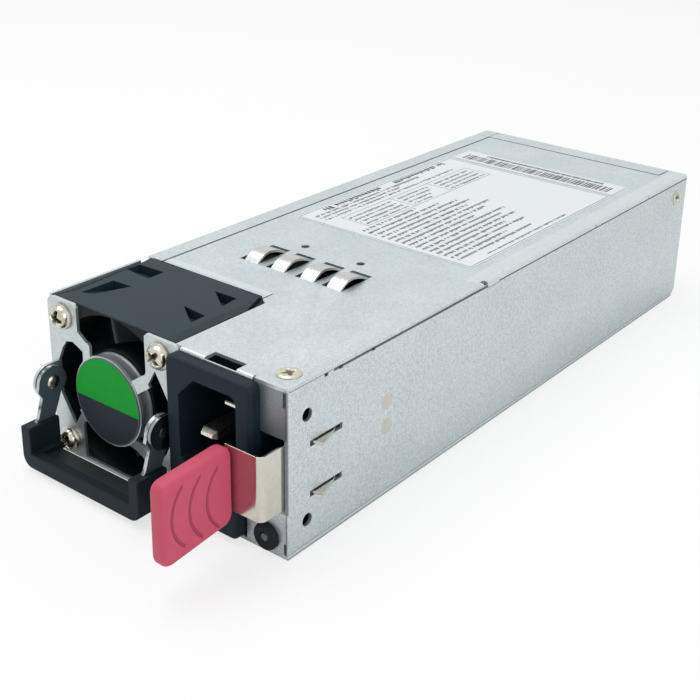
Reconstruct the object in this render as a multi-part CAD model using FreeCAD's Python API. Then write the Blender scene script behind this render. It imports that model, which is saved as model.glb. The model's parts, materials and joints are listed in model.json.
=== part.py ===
import FreeCAD, Part
import math
import os

# Server power supply module: a flat steel case with a fan, a carrying bail, a mains inlet
# and a release latch on its front face, and a card edge that plugs in at its rear.
# Millimetres. X is to the right seen from the front, Y runs from front to rear, Z is up.
# The origin is the centre of the case underside.

# Steel case
sheet = 0.8
seam = 0.25
flange_width = 5.05
rear_flange = 6.5
vent_pitch = 5.2
vent_width = 3.0
edge_gap = 0.12
lip_front = 72.6
lip_drop = 1.05
lip_round = 0.7
lip_tab = 5.1
lip_tab_drop = 1.5

# Fan
fan_size = 40.0
fan_depth = 28.0
fan_gap = 0.35
fan_wall = 1.0
screw_inset = 4.0
screw_radius = 1.75
blade_count = 7
blade_gap = 0.6
hub_radius = 11.6
shaft_radius = 1.0
bearing_radius = 2.5
running_gap = 0.04

# Guard in front of the fan
disc_radius = 10.9
strut_width = 3.6
tab_reach = 9.4
guard_overhang = 1.9
ear_wall_gap = 1.75

# Bail
pivot_forward = 3.2
head_radius = 3.7
strap = 1.0
side_gap = 0.3
pin_radius = 1.2
pin_gap = 0.05
grip_wall = 3.1
grip_height = 10.8
grip_depth = 8.8
grip_drop = 19.4
grip_bar = 4.0
grip_side = 1.2
bar_round = 3.0

# Mains inlet
inlet_gap = 1.5
inlet_width = 21.8
inlet_proud = 3.0
inlet_depth = 24.0
inlet_above = 1.5
inlet_below = 1.1
socket_width = 16.8
socket_height = 24.2
socket_depth = 17.0
socket_margin = 3.1
socket_shift = 0.5
pin_width = 4.0
pin_thick = 2.0
tag_length = 5.0

# Latch, between the inlet and the right wall
latch_room = 9.05
spring_thick = 0.6
spring_height = 16.0
spring_centre = 20.0
spring_root = 30.0
root_length = 7.0
tooth_reach = 2.2
tooth_thick = 0.7
tooth_pitch = 12.05
tooth_low = 12.75
latch_angle = 7.0
wall_gap = 0.3
bend_forward = 8.2
cross_reach = 9.95
tab_thick = 4.6
tab_length = 22.0
tab_forward = 6.2
rivet_radius = 2.0
rivet_pitch = 6.3

# Screws and status light
screw_shank = 1.5
side_head = 2.45
cover_head = 2.8
grommet_radius = 3.3
grommet_hole = 2.6
lens_radius = 1.1

# Louvres in the cover
louvre_places = (18.15, 26.65, 36.15, 44.35)
louvre_slot = 6.3
louvre_front = 44.5
louvre_length = 11.1
louvre_rise = 1.9

# Labels
label_front = 77.0
label_length = 72.6
label_width = 56.8
label_inset = 8.75
barcode_length = 9.2
label_gap = 1.6
label_thick = 0.12

# Board and the rows of parts on it, from front to rear
board_z = 5.0
board_thick = 1.6
board_setback = 3.2
lead_room = 12.2
choke_room = 12.0
part_gap = 4.0
film_depth = 8.0
boost_depth = 22.0
row_gap = 10.0
core_depth = 26.0
drive_room = 21.0
can_room = 19.0
bar_length = 14.0
rear_room = 4.0
headroom = 1.8
cap_sleeve = 0.4
tongue_width = 42.0
tongue_reach = 9.5
hole_clear = 0.2
post_radius = 2.6
lead_radius = 1.1
lead_bend = 3.6
choke_outer = 10.0
choke_inner = 6.0
choke_wire = 1.4
can_radius = 3.9

# The case is as high as its fan, as wide as fan, inlet and latch side by side,
# and as long as the fan and the rows of parts behind it
cap_length = choke_room + part_gap + film_depth + part_gap + boost_depth
case_width = sheet + fan_gap + fan_size + inlet_gap + inlet_width + latch_room
case_length = sheet + fan_depth + lead_room + cap_length + row_gap
case_length += core_depth + drive_room + can_room + bar_length + rear_room
case_height = fan_size

# Places that follow from the sizes above
left = -case_width / 2
right = case_width / 2
front = -case_length / 2
rear = case_length / 2
top = case_height
fan_bore = fan_size / 2 - fan_wall
fan_x = left + sheet + fan_gap + fan_size / 2
fan_z = case_height / 2
fan_front = front + sheet
fan_rear = fan_front + fan_depth
fan_right = fan_x + fan_size / 2
screw_offset = fan_size / 2 - screw_inset
guard_right = fan_right + guard_overhang
window_left = left + ear_wall_gap
window_right = 2 * fan_x - window_left
pivot_y = front - pivot_forward
pivot_z = fan_z
ear_radius = pivot_forward + sheet
arm_left = window_left + side_gap
arm_right = window_right - side_gap - strap
inlet_left = fan_right + inlet_gap
inlet_right = inlet_left + inlet_width
inlet_top = top - inlet_above
socket_x = inlet_left + inlet_width / 2 + socket_shift
socket_z = inlet_top - socket_margin - socket_height / 2
spring_x = right - sheet - wall_gap - spring_thick
spring_low = spring_centre - spring_height / 2
spring_high = spring_centre + spring_height / 2
hinge_y = front + spring_root
tab_right = spring_x + 1.9 - cross_reach
tooth_levels = (tooth_low, tooth_low + tooth_pitch)
rivet_y = hinge_y + root_length / 2 - 0.3
rivet_levels = (spring_centre + 0.85 - rivet_pitch / 2, spring_centre + 0.85 + rivet_pitch / 2)
grommet_x = inlet_right + grommet_radius + 0.3
grommet_z = grommet_radius + 1.0
cover_screw_x = right - 4.6
cover_screw_y = front + 5.8
side_screw_y = rear - 6.2
side_screw_z = top - 5.9
board_top = board_z + board_thick
board_front = fan_rear + board_setback
part_top = top - sheet - headroom
cap_radius = (part_top - board_top) / 2 - cap_sleeve
cap_x = left + sheet + 3.0 + cap_radius
cap_y = fan_rear + lead_room
cap_z = board_top + cap_radius + cap_sleeve
choke_x = right - 19.25
choke_y = cap_y + choke_wire + 0.1
choke_z = board_top + choke_outer
film_y = cap_y + choke_room + part_gap
boost_y = film_y + film_depth + part_gap
core_y = cap_y + cap_length + row_gap
can_y = core_y + core_depth + drive_room
bar_y = can_y + can_room
boost_height = part_top - board_top - 5.8
core_height = part_top - board_top - 4.8
sink_x = left + 36.75
sink_front = core_y - row_gap / 2
sink_rear = can_y - part_gap
sink_top = board_top + core_height
control_x = right - 12.75
post_places = [(x, y) for x in (left + 5.75, right - 5.75) for y in (board_front + 15.0, rear - 9.0)]

V = FreeCAD.Vector
X_AXIS = V(1, 0, 0)
Y_AXIS = V(0, 1, 0)
Z_AXIS = V(0, 0, 1)


def block(x0, x1, y0, y1, z0, z1):
    return Part.makeBox(x1 - x0, y1 - y0, z1 - z0, V(x0, y0, z0))


def rod(radius, length, x, y, z, axis):
    return Part.makeCylinder(radius, length, V(x, y, z), axis)


def tube(outer, inner, length, x, y, z, axis):
    return rod(outer, length, x, y, z, axis).cut(rod(inner, length, x, y, z, axis))


def face_of(points):
    return Part.Face(Part.makePolygon(points + [points[0]]))


def outline_yz(points, x, thick):
    return face_of([V(x, y, z) for y, z in points]).extrude(V(thick, 0, 0))


def outline_xz(points, y, thick):
    return face_of([V(x, y, z) for x, z in points]).extrude(V(0, thick, 0))


def outline_xy(points, z, thick):
    return face_of([V(x, y, z) for x, y in points]).extrude(V(0, 0, thick))


def slot_z(x, y0, y1, z0, z1, width):
    """Upright slot with round ends that runs through the sheet from y0 to y1."""
    r = width / 2
    body = block(x - r, x + r, y0, y1, z0 + r, z1 - r)
    ends = [rod(r, y1 - y0, x, y0, z, Y_AXIS) for z in (z0 + r, z1 - r)]
    return body.fuse(ends).removeSplitter()


def screw(x, y, z, axis, head_r, head_h, shank_r, length):
    """Pan head screw whose head rests at (x, y, z) and whose shank runs along the axis."""
    head = Part.makeCylinder(head_r, head_h * 0.55, V(x, y, z), axis * -1)
    crown = V(x, y, z) - axis * (head_h * 0.55)
    dome = Part.makeCone(head_r, head_r * 0.62, head_h * 0.45, crown, axis * -1)
    body = head.fuse([dome, Part.makeCylinder(shank_r, length, V(x, y, z), axis)]).removeSplitter()
    side = V(axis.z, axis.x, axis.y)
    other = axis.cross(side)
    centre = V(x, y, z) - axis * head_h
    for a, b in ((side, other), (other, side)):
        corner = centre - a * (head_r * 0.6) - b * (head_r * 0.12)
        points = [corner, corner + a * (head_r * 1.2)]
        points += [points[1] + b * (head_r * 0.24), corner + b * (head_r * 0.24)]
        body = body.cut(face_of(points).extrude(axis * (head_h * 0.55)))
    return body


def flat_screw(x, y, z, axis, head_r, shank_r, length):
    """Countersunk screw flush with the surface at (x, y, z)."""
    cone = Part.makeCone(head_r, shank_r, sheet, V(x, y, z), axis)
    body = cone.fuse(Part.makeCylinder(shank_r, length, V(x, y, z), axis)).removeSplitter()
    side = V(axis.z, axis.x, axis.y)
    other = axis.cross(side)
    for a, b in ((side, other), (other, side)):
        corner = V(x, y, z) - a * (head_r * 0.55) - b * (head_r * 0.11)
        points = [corner, corner + a * (head_r * 1.1)]
        points += [points[1] + b * (head_r * 0.22), corner + b * (head_r * 0.22)]
        body = body.cut(face_of(points).extrude(axis * (sheet * 0.7)))
    return body


# Case

def chassis():
    floor = block(left, right, front, rear, 0, sheet)
    floor = floor.cut(block(left + sheet, fan_right + fan_gap, front - 1, fan_rear + fan_gap,
                            -1, sheet + 1))
    left_wall = block(left, left + sheet, front, rear, 0, top)
    right_wall = block(right - sheet, right, front, rear, 0, top - sheet - edge_gap)
    rear_wall = block(left, right, rear - sheet, rear, 0, top - sheet)
    flange_left = inlet_right + 0.4
    front_flange = block(flange_left, right, front, front + sheet, 0, top - sheet)
    screw_tab = block(flange_left, right - sheet, front, front + 11, top - 2 * sheet, top - sheet)
    top_flange = block(left, left + flange_width, fan_rear + fan_gap, rear, top - sheet, top)
    back_flange = block(left, right - rear_flange, rear - rear_flange, rear, top - sheet, top)
    body = floor.fuse([left_wall, right_wall, rear_wall, front_flange, screw_tab, top_flange, back_flange])
    body = body.removeSplitter()
    cuts = [block(left - 1, guard_right, front - 1, fan_front, -1, top + 1)]
    # Window the latch strip passes through, as wide as its swing
    swing = spring_root * math.sin(math.radians(latch_angle)) + wall_gap
    cuts.append(block(spring_x - swing, right - sheet, front - 1, front + sheet + 1,
                      spring_low - wall_gap, spring_high + wall_gap))
    # Slots the latch teeth come out of
    for z in tooth_levels:
        cuts.append(block(right - sheet - 1, right + 1, front + 7.0, front + 17.5,
                          z - tooth_thick, z + tooth_thick))
    # Round holes, relief slots and small notches of the right wall
    cuts.append(rod(1.5, 4, right - 2, front + 6.1, top - 8, X_AXIS))
    cuts.append(rod(1.5, 4, right - 2, front + 6.1, 7.0, X_AXIS))
    for z0, z1 in ((1.2, 4.2), (top - 4.2, top - 1.2)):
        cuts.append(block(right - 1.2, right + 1, front - 1, front + 0.7, z0, z1))
    for y in (11.5, 16.2, 27.2):
        cuts.append(block(right - sheet - 1, right + 1, front + y, front + y + 1.2, top - sheet - 0.8, top))
    # Lower edge of the wall where the cover's lip is folded over it
    lip_end = front + lip_front + lip_tab + seam
    cuts.append(block(right - sheet - 0.1, right + 1, front + lip_front - seam, rear + 1,
                      top - lip_drop - edge_gap, top))
    cuts.append(block(right - sheet - 0.1, right + 1, front + lip_front - seam, lip_end,
                      top - lip_tab_drop - edge_gap, top))
    # Clipped corner at the rear, below
    clip = 2.2
    corner = [(rear - clip, 0), (rear, clip), (rear + 1, clip), (rear + 1, -1), (rear - clip, -1)]
    cuts.append(outline_yz(corner, right - 6, 7))
    # Rear: way out for the card edge and the air outlet slots
    cuts.append(block(-tongue_width / 2 - 2, tongue_width / 2 + 2, rear - 2, rear + 1,
                      board_z - 2, board_top + 2))
    vents = int((case_width - 8) / vent_pitch)
    for i in range(vents):
        x = vent_pitch * (i - (vents - 1) / 2)
        cuts.append(slot_z(x, rear - 2, rear + 1, board_top + 5, top - 4.5, vent_width))
    # Screw and rivet holes
    cuts.append(rod(screw_shank, 3, cover_screw_x, cover_screw_y, top - 3, Z_AXIS))
    sink = V(right, side_screw_y, side_screw_z)
    cuts.append(Part.makeCone(side_head, screw_shank, sheet, sink, X_AXIS * -1))
    for z in rivet_levels:
        cuts.append(rod(rivet_radius, 3, right - 2, rivet_y, z, X_AXIS))
    cuts.append(rod(grommet_hole, 4, grommet_x, front - 2, grommet_z, Y_AXIS))
    # Tapped holes of the board screws
    for x, y in post_places:
        cuts.append(rod(screw_shank, 3, x, y, -1, Z_AXIS))
    for cut in cuts:
        body = body.cut(cut)
    return body


def top_cover():
    plate = block(left + flange_width + seam, right, front, rear, top - sheet, top)
    plate = plate.cut(block(left, right - rear_flange + seam, rear - rear_flange - seam, rear + 1,
                            0, top + 1))
    plate = plate.cut(block(left, fan_right + fan_gap, front - 1, fan_rear + fan_gap, 0, top + 1))
    plate = plate.cut(block(left, guard_right, front - 1, fan_front, 0, top + 1))
    # Rounded front corner over the right wall
    corner = block(right - 1.8, right + 1, front - 1, front + 1.8, 0, top + 1)
    plate = plate.cut(corner.cut(rod(1.8, top, right - 1.8, front + 1.8, 0, Z_AXIS)))
    # Lip folded down over the inlet, with its slot
    lip = block(guard_right + seam, inlet_right - 0.2, front, front + sheet, inlet_top, top)
    lip_end = front + lip_front + lip_tab
    side_lip = block(right - sheet, right, front + lip_front, rear, top - lip_drop, top)
    lip_foot = block(right - sheet, right, front + lip_front, lip_end, top - lip_tab_drop, top)
    side_lip = side_lip.fuse(lip_foot).removeSplitter()
    edge = [e for e in side_lip.Edges if e.BoundBox.YLength > 5 and e.BoundBox.XMin > right - 0.1
            and e.BoundBox.ZMin > top - 0.1]
    body = plate.cut(block(right - sheet, right + 1, front + lip_front, rear + 1, 0, top + 1))
    body = body.fuse([lip, side_lip.makeFillet(lip_round, edge)]).removeSplitter()
    # Relief notch at the front end of the folded lip
    body = body.cut(block(right - 1.5, right + 1, front + lip_front - 1.8, front + lip_front, 0, top + 1))
    body = body.cut(block(inlet_left + 8.3, inlet_right - 4.4, front + 0.5, front + 3.4, 0, top + 1))
    # Joints of the folded lip
    for y in (front + 126.5, front + 158.6):
        body = body.cut(block(right - 0.4, right + 1, y, y + 0.35, top - 2 * lip_drop, top - 0.3))
    # Lug folded down inside the right wall at the rear, held by the side screw
    lug = block(right - 2 * sheet, right - sheet, rear - 14, rear - 2, top - 11, top - sheet)
    body = body.fuse(lug).removeSplitter()
    body = body.cut(rod(screw_shank, 4, right - 3, side_screw_y, side_screw_z, X_AXIS))
    sink = V(cover_screw_x, cover_screw_y, top)
    body = body.cut(Part.makeCone(cover_head, screw_shank, sheet, sink, Z_AXIS * -1))
    for x in (left + 25.05, left + 43.05):
        body = body.cut(rod(1.1, 4, x, front + 61.6, top - 2, Z_AXIS))
    for place in louvre_places:
        x = left + place
        y = front + louvre_front
        body = body.cut(block(x, x + louvre_slot, y, y + louvre_length, top - 2, top + 1))
        body = body.fuse(louvre_bridge(x + 0.9, louvre_slot - 1.8))
    return body


def louvre_bridge(x, width):
    """Arched strip lanced out of the cover, from the front end of its slot to the rear end."""
    y0 = front + louvre_front - 0.1
    y1 = y0 + louvre_length + 0.2
    rise = louvre_rise
    mid = (y0 + y1) / 2
    outer = Part.Arc(V(x, y0, top), V(x, mid, top + rise), V(x, y1, top)).toShape()
    inner = Part.Arc(V(x, y1, top - sheet), V(x, mid, top + rise - sheet), V(x, y0, top - sheet)).toShape()
    rear_end = Part.makeLine(V(x, y1, top), V(x, y1, top - sheet))
    front_end = Part.makeLine(V(x, y0, top - sheet), V(x, y0, top))
    wire = Part.Wire([outer, rear_end, inner, front_end])
    return Part.Face(wire).extrude(V(width, 0, 0))


def cover_screw():
    return flat_screw(cover_screw_x, cover_screw_y, top, Z_AXIS * -1, cover_head, screw_shank, 5.0)


def side_screw():
    return flat_screw(right, side_screw_y, side_screw_z, X_AXIS * -1, side_head, screw_shank, 4.5)


# Fan

def fan_frame():
    y0 = fan_front
    body = block(fan_x - fan_size / 2, fan_x + fan_size / 2, y0, y0 + fan_depth, 0, fan_size)
    body = body.cut(rod(fan_bore, fan_depth, fan_x, y0, fan_z, Y_AXIS))
    flare = fan_bore + 0.7
    for y, r0, r1 in ((y0, flare, fan_bore), (y0 + fan_depth - 2, fan_bore, flare)):
        body = body.cut(Part.makeCone(r0, r1, 2.0, V(fan_x, y, fan_z), Y_AXIS))
    # Motor plate, its four spokes and the bearing tube
    plate_y = y0 + fan_depth - 2.4
    motor = rod(hub_radius - 0.6, 2.0, fan_x, plate_y, fan_z, Y_AXIS)
    spokes = []
    for k in range(4):
        spoke = block(-1.3, 1.3, plate_y - 1.4, plate_y + 2.0, hub_radius - 2, fan_bore + 0.6)
        spoke.rotate(V(0, 0, 0), Y_AXIS, 45 + 90 * k)
        spoke.translate(V(fan_x, 0, fan_z))
        spokes.append(spoke)
    neck = rod(bearing_radius + 0.9, plate_y - y0 - 8, fan_x, y0 + 8, fan_z, Y_AXIS)
    body = body.fuse([motor, neck] + spokes).removeSplitter()
    body = body.cut(rod(bearing_radius, plate_y - y0 - 7, fan_x, y0 + 8, fan_z, Y_AXIS))
    for x, z in fan_corners():
        body = body.cut(rod(screw_radius, 9.0, x, y0, z, Y_AXIS))
    # Triangular pockets in the upper and lower sides
    for sign in (-1, 1):
        for y in (10.0, 20.6):
            inner = fan_x + sign * 6.6
            outer = fan_x + sign * 14.4
            points = [(inner, y0 + y + 4.4), (outer, y0 + y + 4.4), (outer, y0 + y)]
            body = body.cut(outline_xy(points, fan_size - 1.6, 2.0))
            body = body.cut(outline_xy(points, -0.4, 2.0))
    return body


def fan_corners():
    return [(fan_x + sx * screw_offset, fan_z + sz * screw_offset) for sx in (-1, 1) for sz in (-1, 1)]


def fan_impeller():
    """Hub ring and twisted blades: the chord turns from root to tip about the radial line."""
    outside = ((-0.5, 0.0), (-0.2, 1.5), (0.25, 1.4), (0.5, 0.3))
    inside = ((0.5, -0.3), (0.25, 0.6), (-0.2, 0.6))
    stations = ((hub_radius - 0.5, 38, 15.0), (15.4, 50, 16.0), (fan_bore, 60, 17.0))
    y0 = fan_front + 3.2
    depth = 18.0
    ring = tube(hub_radius, hub_radius - 1.0, depth - 0.4, fan_x, y0 + 0.4, fan_z, Y_AXIS)
    blades = []
    for k in range(blade_count):
        sections = []
        for radius, stagger, chord in stations:
            a = math.radians(stagger)
            along = V(math.sin(a), math.cos(a), 0)
            across = V(math.cos(a), -math.sin(a), 0)
            points = []
            for u, v in outside + inside:
                points.append(along * (u * chord) + across * v + V(0, depth / 2, radius))
            sections.append(Part.makePolygon(points + [points[0]]))
        blade = Part.makeLoft(sections, True, False)
        blade = blade.common(block(-20, 20, 0.6, depth - 0.2, -1, 25))
        blade.rotate(V(0, 0, 0), Y_AXIS, 360.0 / blade_count * k)
        blade.translate(V(fan_x, y0, fan_z))
        blades.append(blade)
    body = ring.fuse(blades)
    body = body.common(rod(fan_bore - blade_gap, depth, fan_x, y0, fan_z, Y_AXIS))
    return body.cut(rod(hub_radius - 1.0, depth + 2, fan_x, y0 - 1, fan_z, Y_AXIS)).removeSplitter()


def rotor_yoke():
    y0 = fan_front + 3.2
    cup = tube(hub_radius - 1.0, hub_radius - 1.6, 17.0, fan_x, y0, fan_z, Y_AXIS)
    cap = rod(hub_radius - 1.3, 0.8, fan_x, y0, fan_z, Y_AXIS)
    boss = rod(shaft_radius + 1.2, 2.4, fan_x, y0 + 0.8, fan_z, Y_AXIS)
    body = cup.fuse([cap, boss]).removeSplitter()
    return body.cut(rod(shaft_radius, 4.0, fan_x, y0 - 0.5, fan_z, Y_AXIS))


def rotor_magnet():
    return tube(hub_radius - 1.6, hub_radius - 2.6, 13.0, fan_x, fan_front + 6.6, fan_z, Y_AXIS)


def fan_shaft():
    return rod(shaft_radius, fan_depth - 2.4 - 3.4, fan_x, fan_front + 3.2, fan_z, Y_AXIS)


def fan_bearings():
    first = fan_front + 8.2
    second = fan_front + fan_depth - 2.4 - 4.2
    rings = [tube(bearing_radius, shaft_radius + running_gap, 2.6, fan_x, y, fan_z, Y_AXIS)
             for y in (first, second)]
    return Part.makeCompound(rings)


def fan_stator():
    y0 = fan_front + 9.0
    core = rod(bearing_radius + 2.4, 9.0, fan_x, y0, fan_z, Y_AXIS)
    reach = hub_radius - 3.1
    for k in range(4):
        arm = block(-1.1, 1.1, y0, y0 + 9.0, 0, reach - 0.4)
        shoe = rod(reach, 9.0, 0, y0, 0, Y_AXIS).cut(rod(reach - 1.0, 9.0, 0, y0, 0, Y_AXIS))
        shoe = shoe.common(block(-3.6, 3.6, y0, y0 + 9.0, 0, reach + 1))
        pole = arm.fuse(shoe)
        pole.rotate(V(0, 0, 0), Y_AXIS, 45 + 90 * k)
        pole.translate(V(fan_x, 0, fan_z))
        core = core.fuse(pole)
    return core.cut(rod(bearing_radius + 0.9, 11.0, fan_x, y0 - 1, fan_z, Y_AXIS)).removeSplitter()


def fan_coils():
    y0 = fan_front + 9.0
    coils = []
    for k in range(4):
        coil = block(-2.3, 2.3, y0 - 0.9, y0 + 9.9, bearing_radius + 2.6, hub_radius - 4.6)
        coil = coil.cut(block(-1.1, 1.1, y0, y0 + 9.0, 0, 20))
        coil.rotate(V(0, 0, 0), Y_AXIS, 45 + 90 * k)
        coil.translate(V(fan_x, 0, fan_z))
        coils.append(coil)
    return Part.makeCompound(coils)


def fan_screws():
    screws = [screw(x, front, z, Y_AXIS, 3.2, 2.3, screw_radius, 8.0) for x, z in fan_corners()]
    return Part.makeCompound(screws)


# Guard

def fan_guard():
    """Pressed front plate: corner tabs, side strips, four struts, a centre disc and two ears."""
    plate = block(left, guard_right, front, fan_front, 0, top)
    ring = rod(fan_bore + 0.7, sheet, fan_x, front, fan_z, Y_AXIS)
    window = ring.common(block(window_left, window_right, front, fan_front, 1.5, top))
    sides = block(window_left, window_right, front, fan_front, tab_reach - 0.6, top - tab_reach + 0.6)
    top_open = block(left + tab_reach, guard_right - tab_reach - 1.0, front, fan_front,
                     top - tab_reach, top + 1)
    body = plate.cut(window.fuse([sides, top_open]))
    struts = [rod(disc_radius, sheet, fan_x, front, fan_z, Y_AXIS)]
    for k in range(4):
        strut = block(-strut_width / 2, strut_width / 2, front, fan_front, disc_radius - 1, fan_bore + 1.6)
        strut.rotate(V(0, front, 0), Y_AXIS, 45 + 90 * k)
        strut.translate(V(fan_x, 0, fan_z))
        struts.append(strut)
    body = body.fuse(struts)
    # Rounded outer corners, above and below
    for z, centre in ((top, top - 2.0), (0, 2.0)):
        corner = block(left - 1, left + 2.0, front - 1, fan_front + 1, min(z, centre), max(z, centre))
        body = body.cut(corner.cut(rod(2.0, 4, left + 2.0, front - 2, centre, Y_AXIS)))
    # Ears folded forward to carry the bail
    for x in (window_left - sheet, window_right):
        ear = rod(ear_radius, sheet, x, pivot_y, pivot_z, X_AXIS)
        root = block(x, x + sheet, pivot_y, fan_front, pivot_z - ear_radius, pivot_z + ear_radius)
        body = body.fuse(ear.fuse(root))
    body = body.removeSplitter()
    for x, z in fan_corners():
        body = body.cut(rod(screw_radius, 4, x, front - 1, z, Y_AXIS))
    return body.cut(rod(pin_radius, guard_right - left + 4, left - 2, pivot_y, pivot_z, X_AXIS))


def guard_badge():
    return rod(disc_radius - 0.5, 0.3, fan_x, front - 0.3, fan_z, Y_AXIS)


# Bail

def arm_profile(x):
    """Flat strap arm: round head on the pivot, narrow neck, wider foot in the grip."""
    y, z = pivot_y, pivot_z
    head = rod(head_radius, strap, x, y, z, X_AXIS)
    foot = z - grip_drop + 1.4
    points = [(y - 3.9, z), (y - 4.3, z - 1.4), (y - 3.2, z - 3.2), (y - 4.6, z - 7.6),
              (y - 6.6, z - 10.6), (y - 6.6, foot), (y - 0.4, foot), (y - 0.4, z - 9.4),
              (y + 1.2, z - 5.6), (y + 3.0, z - 1.0), (y, z)]
    arm = head.fuse(outline_yz(points, x, strap))
    return arm


def handle_bail():
    body = arm_profile(arm_left)
    floor_z = pivot_z - grip_drop + 1.4
    cross = block(arm_left, arm_right + strap, pivot_y - 6.6, pivot_y - 0.4, floor_z, floor_z + strap)
    body = body.fuse([arm_profile(arm_right), cross]).removeSplitter()
    span = arm_right - arm_left + 6
    return body.cut(rod(pin_radius + pin_gap, span, arm_left - 2, pivot_y, pivot_z, X_AXIS))


def handle_grip():
    """Moulded grip round the foot of the bail: a U with rounded outer corners."""
    x0 = arm_left - grip_side
    x1 = arm_right + strap + grip_side
    z0 = pivot_z - grip_drop
    y0 = pivot_y + 0.4
    body = block(x0, x1, y0 - grip_depth, y0, z0, z0 + grip_height)
    body = body.cut(block(x0 + grip_wall, x1 - grip_wall, y0 - grip_depth - 1, y0 + 1,
                          z0 + grip_bar, top))
    edges = [e for e in body.Edges if abs(e.Vertexes[0].Z - z0) < 0.01
             and abs(e.Vertexes[1].Z - z0) < 0.01 and abs(e.Vertexes[0].X - e.Vertexes[1].X) < 0.01]
    body = body.makeFillet(bar_round, edges)
    return body.cut(handle_bail())


def handle_rivets():
    """One rivet through each ear and arm: flush outside, a low dome on the inner face."""
    gap = 0.1
    reach = strap + side_gap + sheet
    left_pin = rod(pin_radius, reach + gap, window_left - sheet, pivot_y, pivot_z, X_AXIS)
    dome = Part.makeCone(1.7, 1.1, 0.6, V(window_left + side_gap + strap + gap, pivot_y, pivot_z), X_AXIS)
    left_rivet = left_pin.fuse(dome)
    right_pin = rod(pin_radius, reach + gap, window_right + sheet, pivot_y, pivot_z, X_AXIS * -1)
    crown = V(window_right - side_gap - strap - gap, pivot_y, pivot_z)
    dome = Part.makeCone(1.7, 1.1, 0.6, crown, X_AXIS * -1)
    return Part.makeCompound([left_rivet.removeSplitter(), right_pin.fuse(dome).removeSplitter()])


# Mains inlet

def socket_outline(grow):
    w = socket_width / 2 + grow
    h = socket_height / 2 + grow
    c = 4.6 + grow * 0.4
    x, z = socket_x, socket_z
    return [(x - w, z - h + c), (x - w + c, z - h), (x + w, z - h),
            (x + w, z + h), (x - w + c, z + h), (x - w, z + h - c)]


def inlet_housing():
    bezel = block(inlet_left, inlet_right, front - inlet_proud, front, inlet_below, inlet_top)
    rim = [e for e in bezel.Edges if abs(e.BoundBox.YMax - (front - inlet_proud)) < 0.01]
    bezel = bezel.makeChamfer(0.9, rim)
    shell = block(inlet_left + 0.8, inlet_right - 0.8, front, front + inlet_depth,
                  inlet_below + 1.6, inlet_top - 0.2)
    body = bezel.fuse(shell).removeSplitter()
    body = body.cut(outline_xz(socket_outline(0), front - inlet_proud, socket_depth))
    # Shallow step round the socket mouth
    body = body.cut(outline_xz(socket_outline(0.7), front - inlet_proud, 0.8))
    for x, z in pin_places():
        body = body.cut(block(x - pin_width / 2, x + pin_width / 2, front, front + inlet_depth + 1,
                              z - pin_thick / 2, z + pin_thick / 2))
    return body


def pin_places():
    """Line above and neutral below at the right, earth at the left and in the middle."""
    far = socket_x + 3.6
    return [(far, socket_z + 7.0), (far, socket_z - 7.0), (socket_x - 0.4, socket_z)]


def blade_pin(x, z, start):
    body = block(x - pin_width / 2, x + pin_width / 2, start, front + inlet_depth + tag_length,
                 z - pin_thick / 2, z + pin_thick / 2)
    return body.makeChamfer(0.4, [e for e in body.Edges if abs(e.BoundBox.YMax - start) < 0.01])


def pins_line_neutral():
    return Part.makeCompound([blade_pin(x, z, front + 2.2) for x, z in pin_places()[:2]])


def pin_earth():
    x, z = pin_places()[2]
    return blade_pin(x, z, front + 1.4)


# Latch

def latch_spring():
    """Steel strip: side leg with two teeth, a bend in front of the case and a short cross leg."""
    x0, x1 = spring_x, spring_x + spring_thick
    y_bend = front - bend_forward
    y_end = hinge_y - 0.1
    side = block(x0, x1, y_bend, y_end, spring_low, spring_high)
    cross = block(tab_right - 1.6, x1, y_bend, y_bend + spring_thick, spring_low, spring_high)
    body = side.fuse(cross).removeSplitter()
    edges = [e for e in body.Edges if abs(e.BoundBox.XMin - x1) < 0.01
             and abs(e.BoundBox.YMax - y_bend) < 0.01 and e.BoundBox.ZLength > 5]
    body = body.makeFillet(1.6, edges)
    corner = [e for e in body.Edges if abs(e.BoundBox.XMin - x0) < 0.01 and e.BoundBox.XLength < 0.01
              and abs(e.BoundBox.YMax - y_bend - spring_thick) < 0.01 and e.BoundBox.ZLength > 5]
    body = body.makeFillet(1.0, corner)
    for z in tooth_levels:
        points = [(x0, front + 8.6), (x1, front + 8.6), (right + tooth_reach, front + 10.6),
                  (right + tooth_reach, front + 11.3), (x1, front + 16.4), (x0, front + 16.4)]
        body = body.fuse(outline_xy(points, z - tooth_thick / 2, tooth_thick))
    return body.removeSplitter()


def latch_tab():
    """Moulded push tab on the end of the strip: a leaning five sided plate with round edges."""
    near = front - tab_forward
    far = near - tab_length
    mid = spring_centre
    points = [(near, mid - 11.0), (near, mid + 6.4), (far, mid + 7.9),
              (far, mid - 9.2), (far + 4.2, mid - 12.7)]
    body = outline_yz(points, tab_right - tab_thick, tab_thick)
    body = body.makeFillet(0.9, body.Edges)
    y_bend = front - bend_forward
    strip = block(tab_right - 1.6, tab_right + 1, y_bend, y_bend + spring_thick, spring_low, spring_high)
    return body.cut(strip)


def latch_root():
    """Riveted end of the strip, level with the moving leg."""
    body = block(spring_x, spring_x + spring_thick, hinge_y, hinge_y + root_length,
                 spring_low, spring_high)
    for z in rivet_levels:
        body = body.cut(rod(rivet_radius, 2, spring_x - 0.5, rivet_y, z, X_AXIS))
    return body


def latch_shim():
    x = spring_x + spring_thick
    body = block(x, right - sheet, hinge_y, hinge_y + root_length, spring_low, spring_high)
    for z in rivet_levels:
        body = body.cut(rod(rivet_radius, 2, x - 0.5, rivet_y, z, X_AXIS))
    return body


def latch_rivets():
    length = right - spring_x
    pins = [rod(rivet_radius, length, spring_x, rivet_y, z, X_AXIS) for z in rivet_levels]
    return Part.makeCompound(pins)


# Status light

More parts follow.
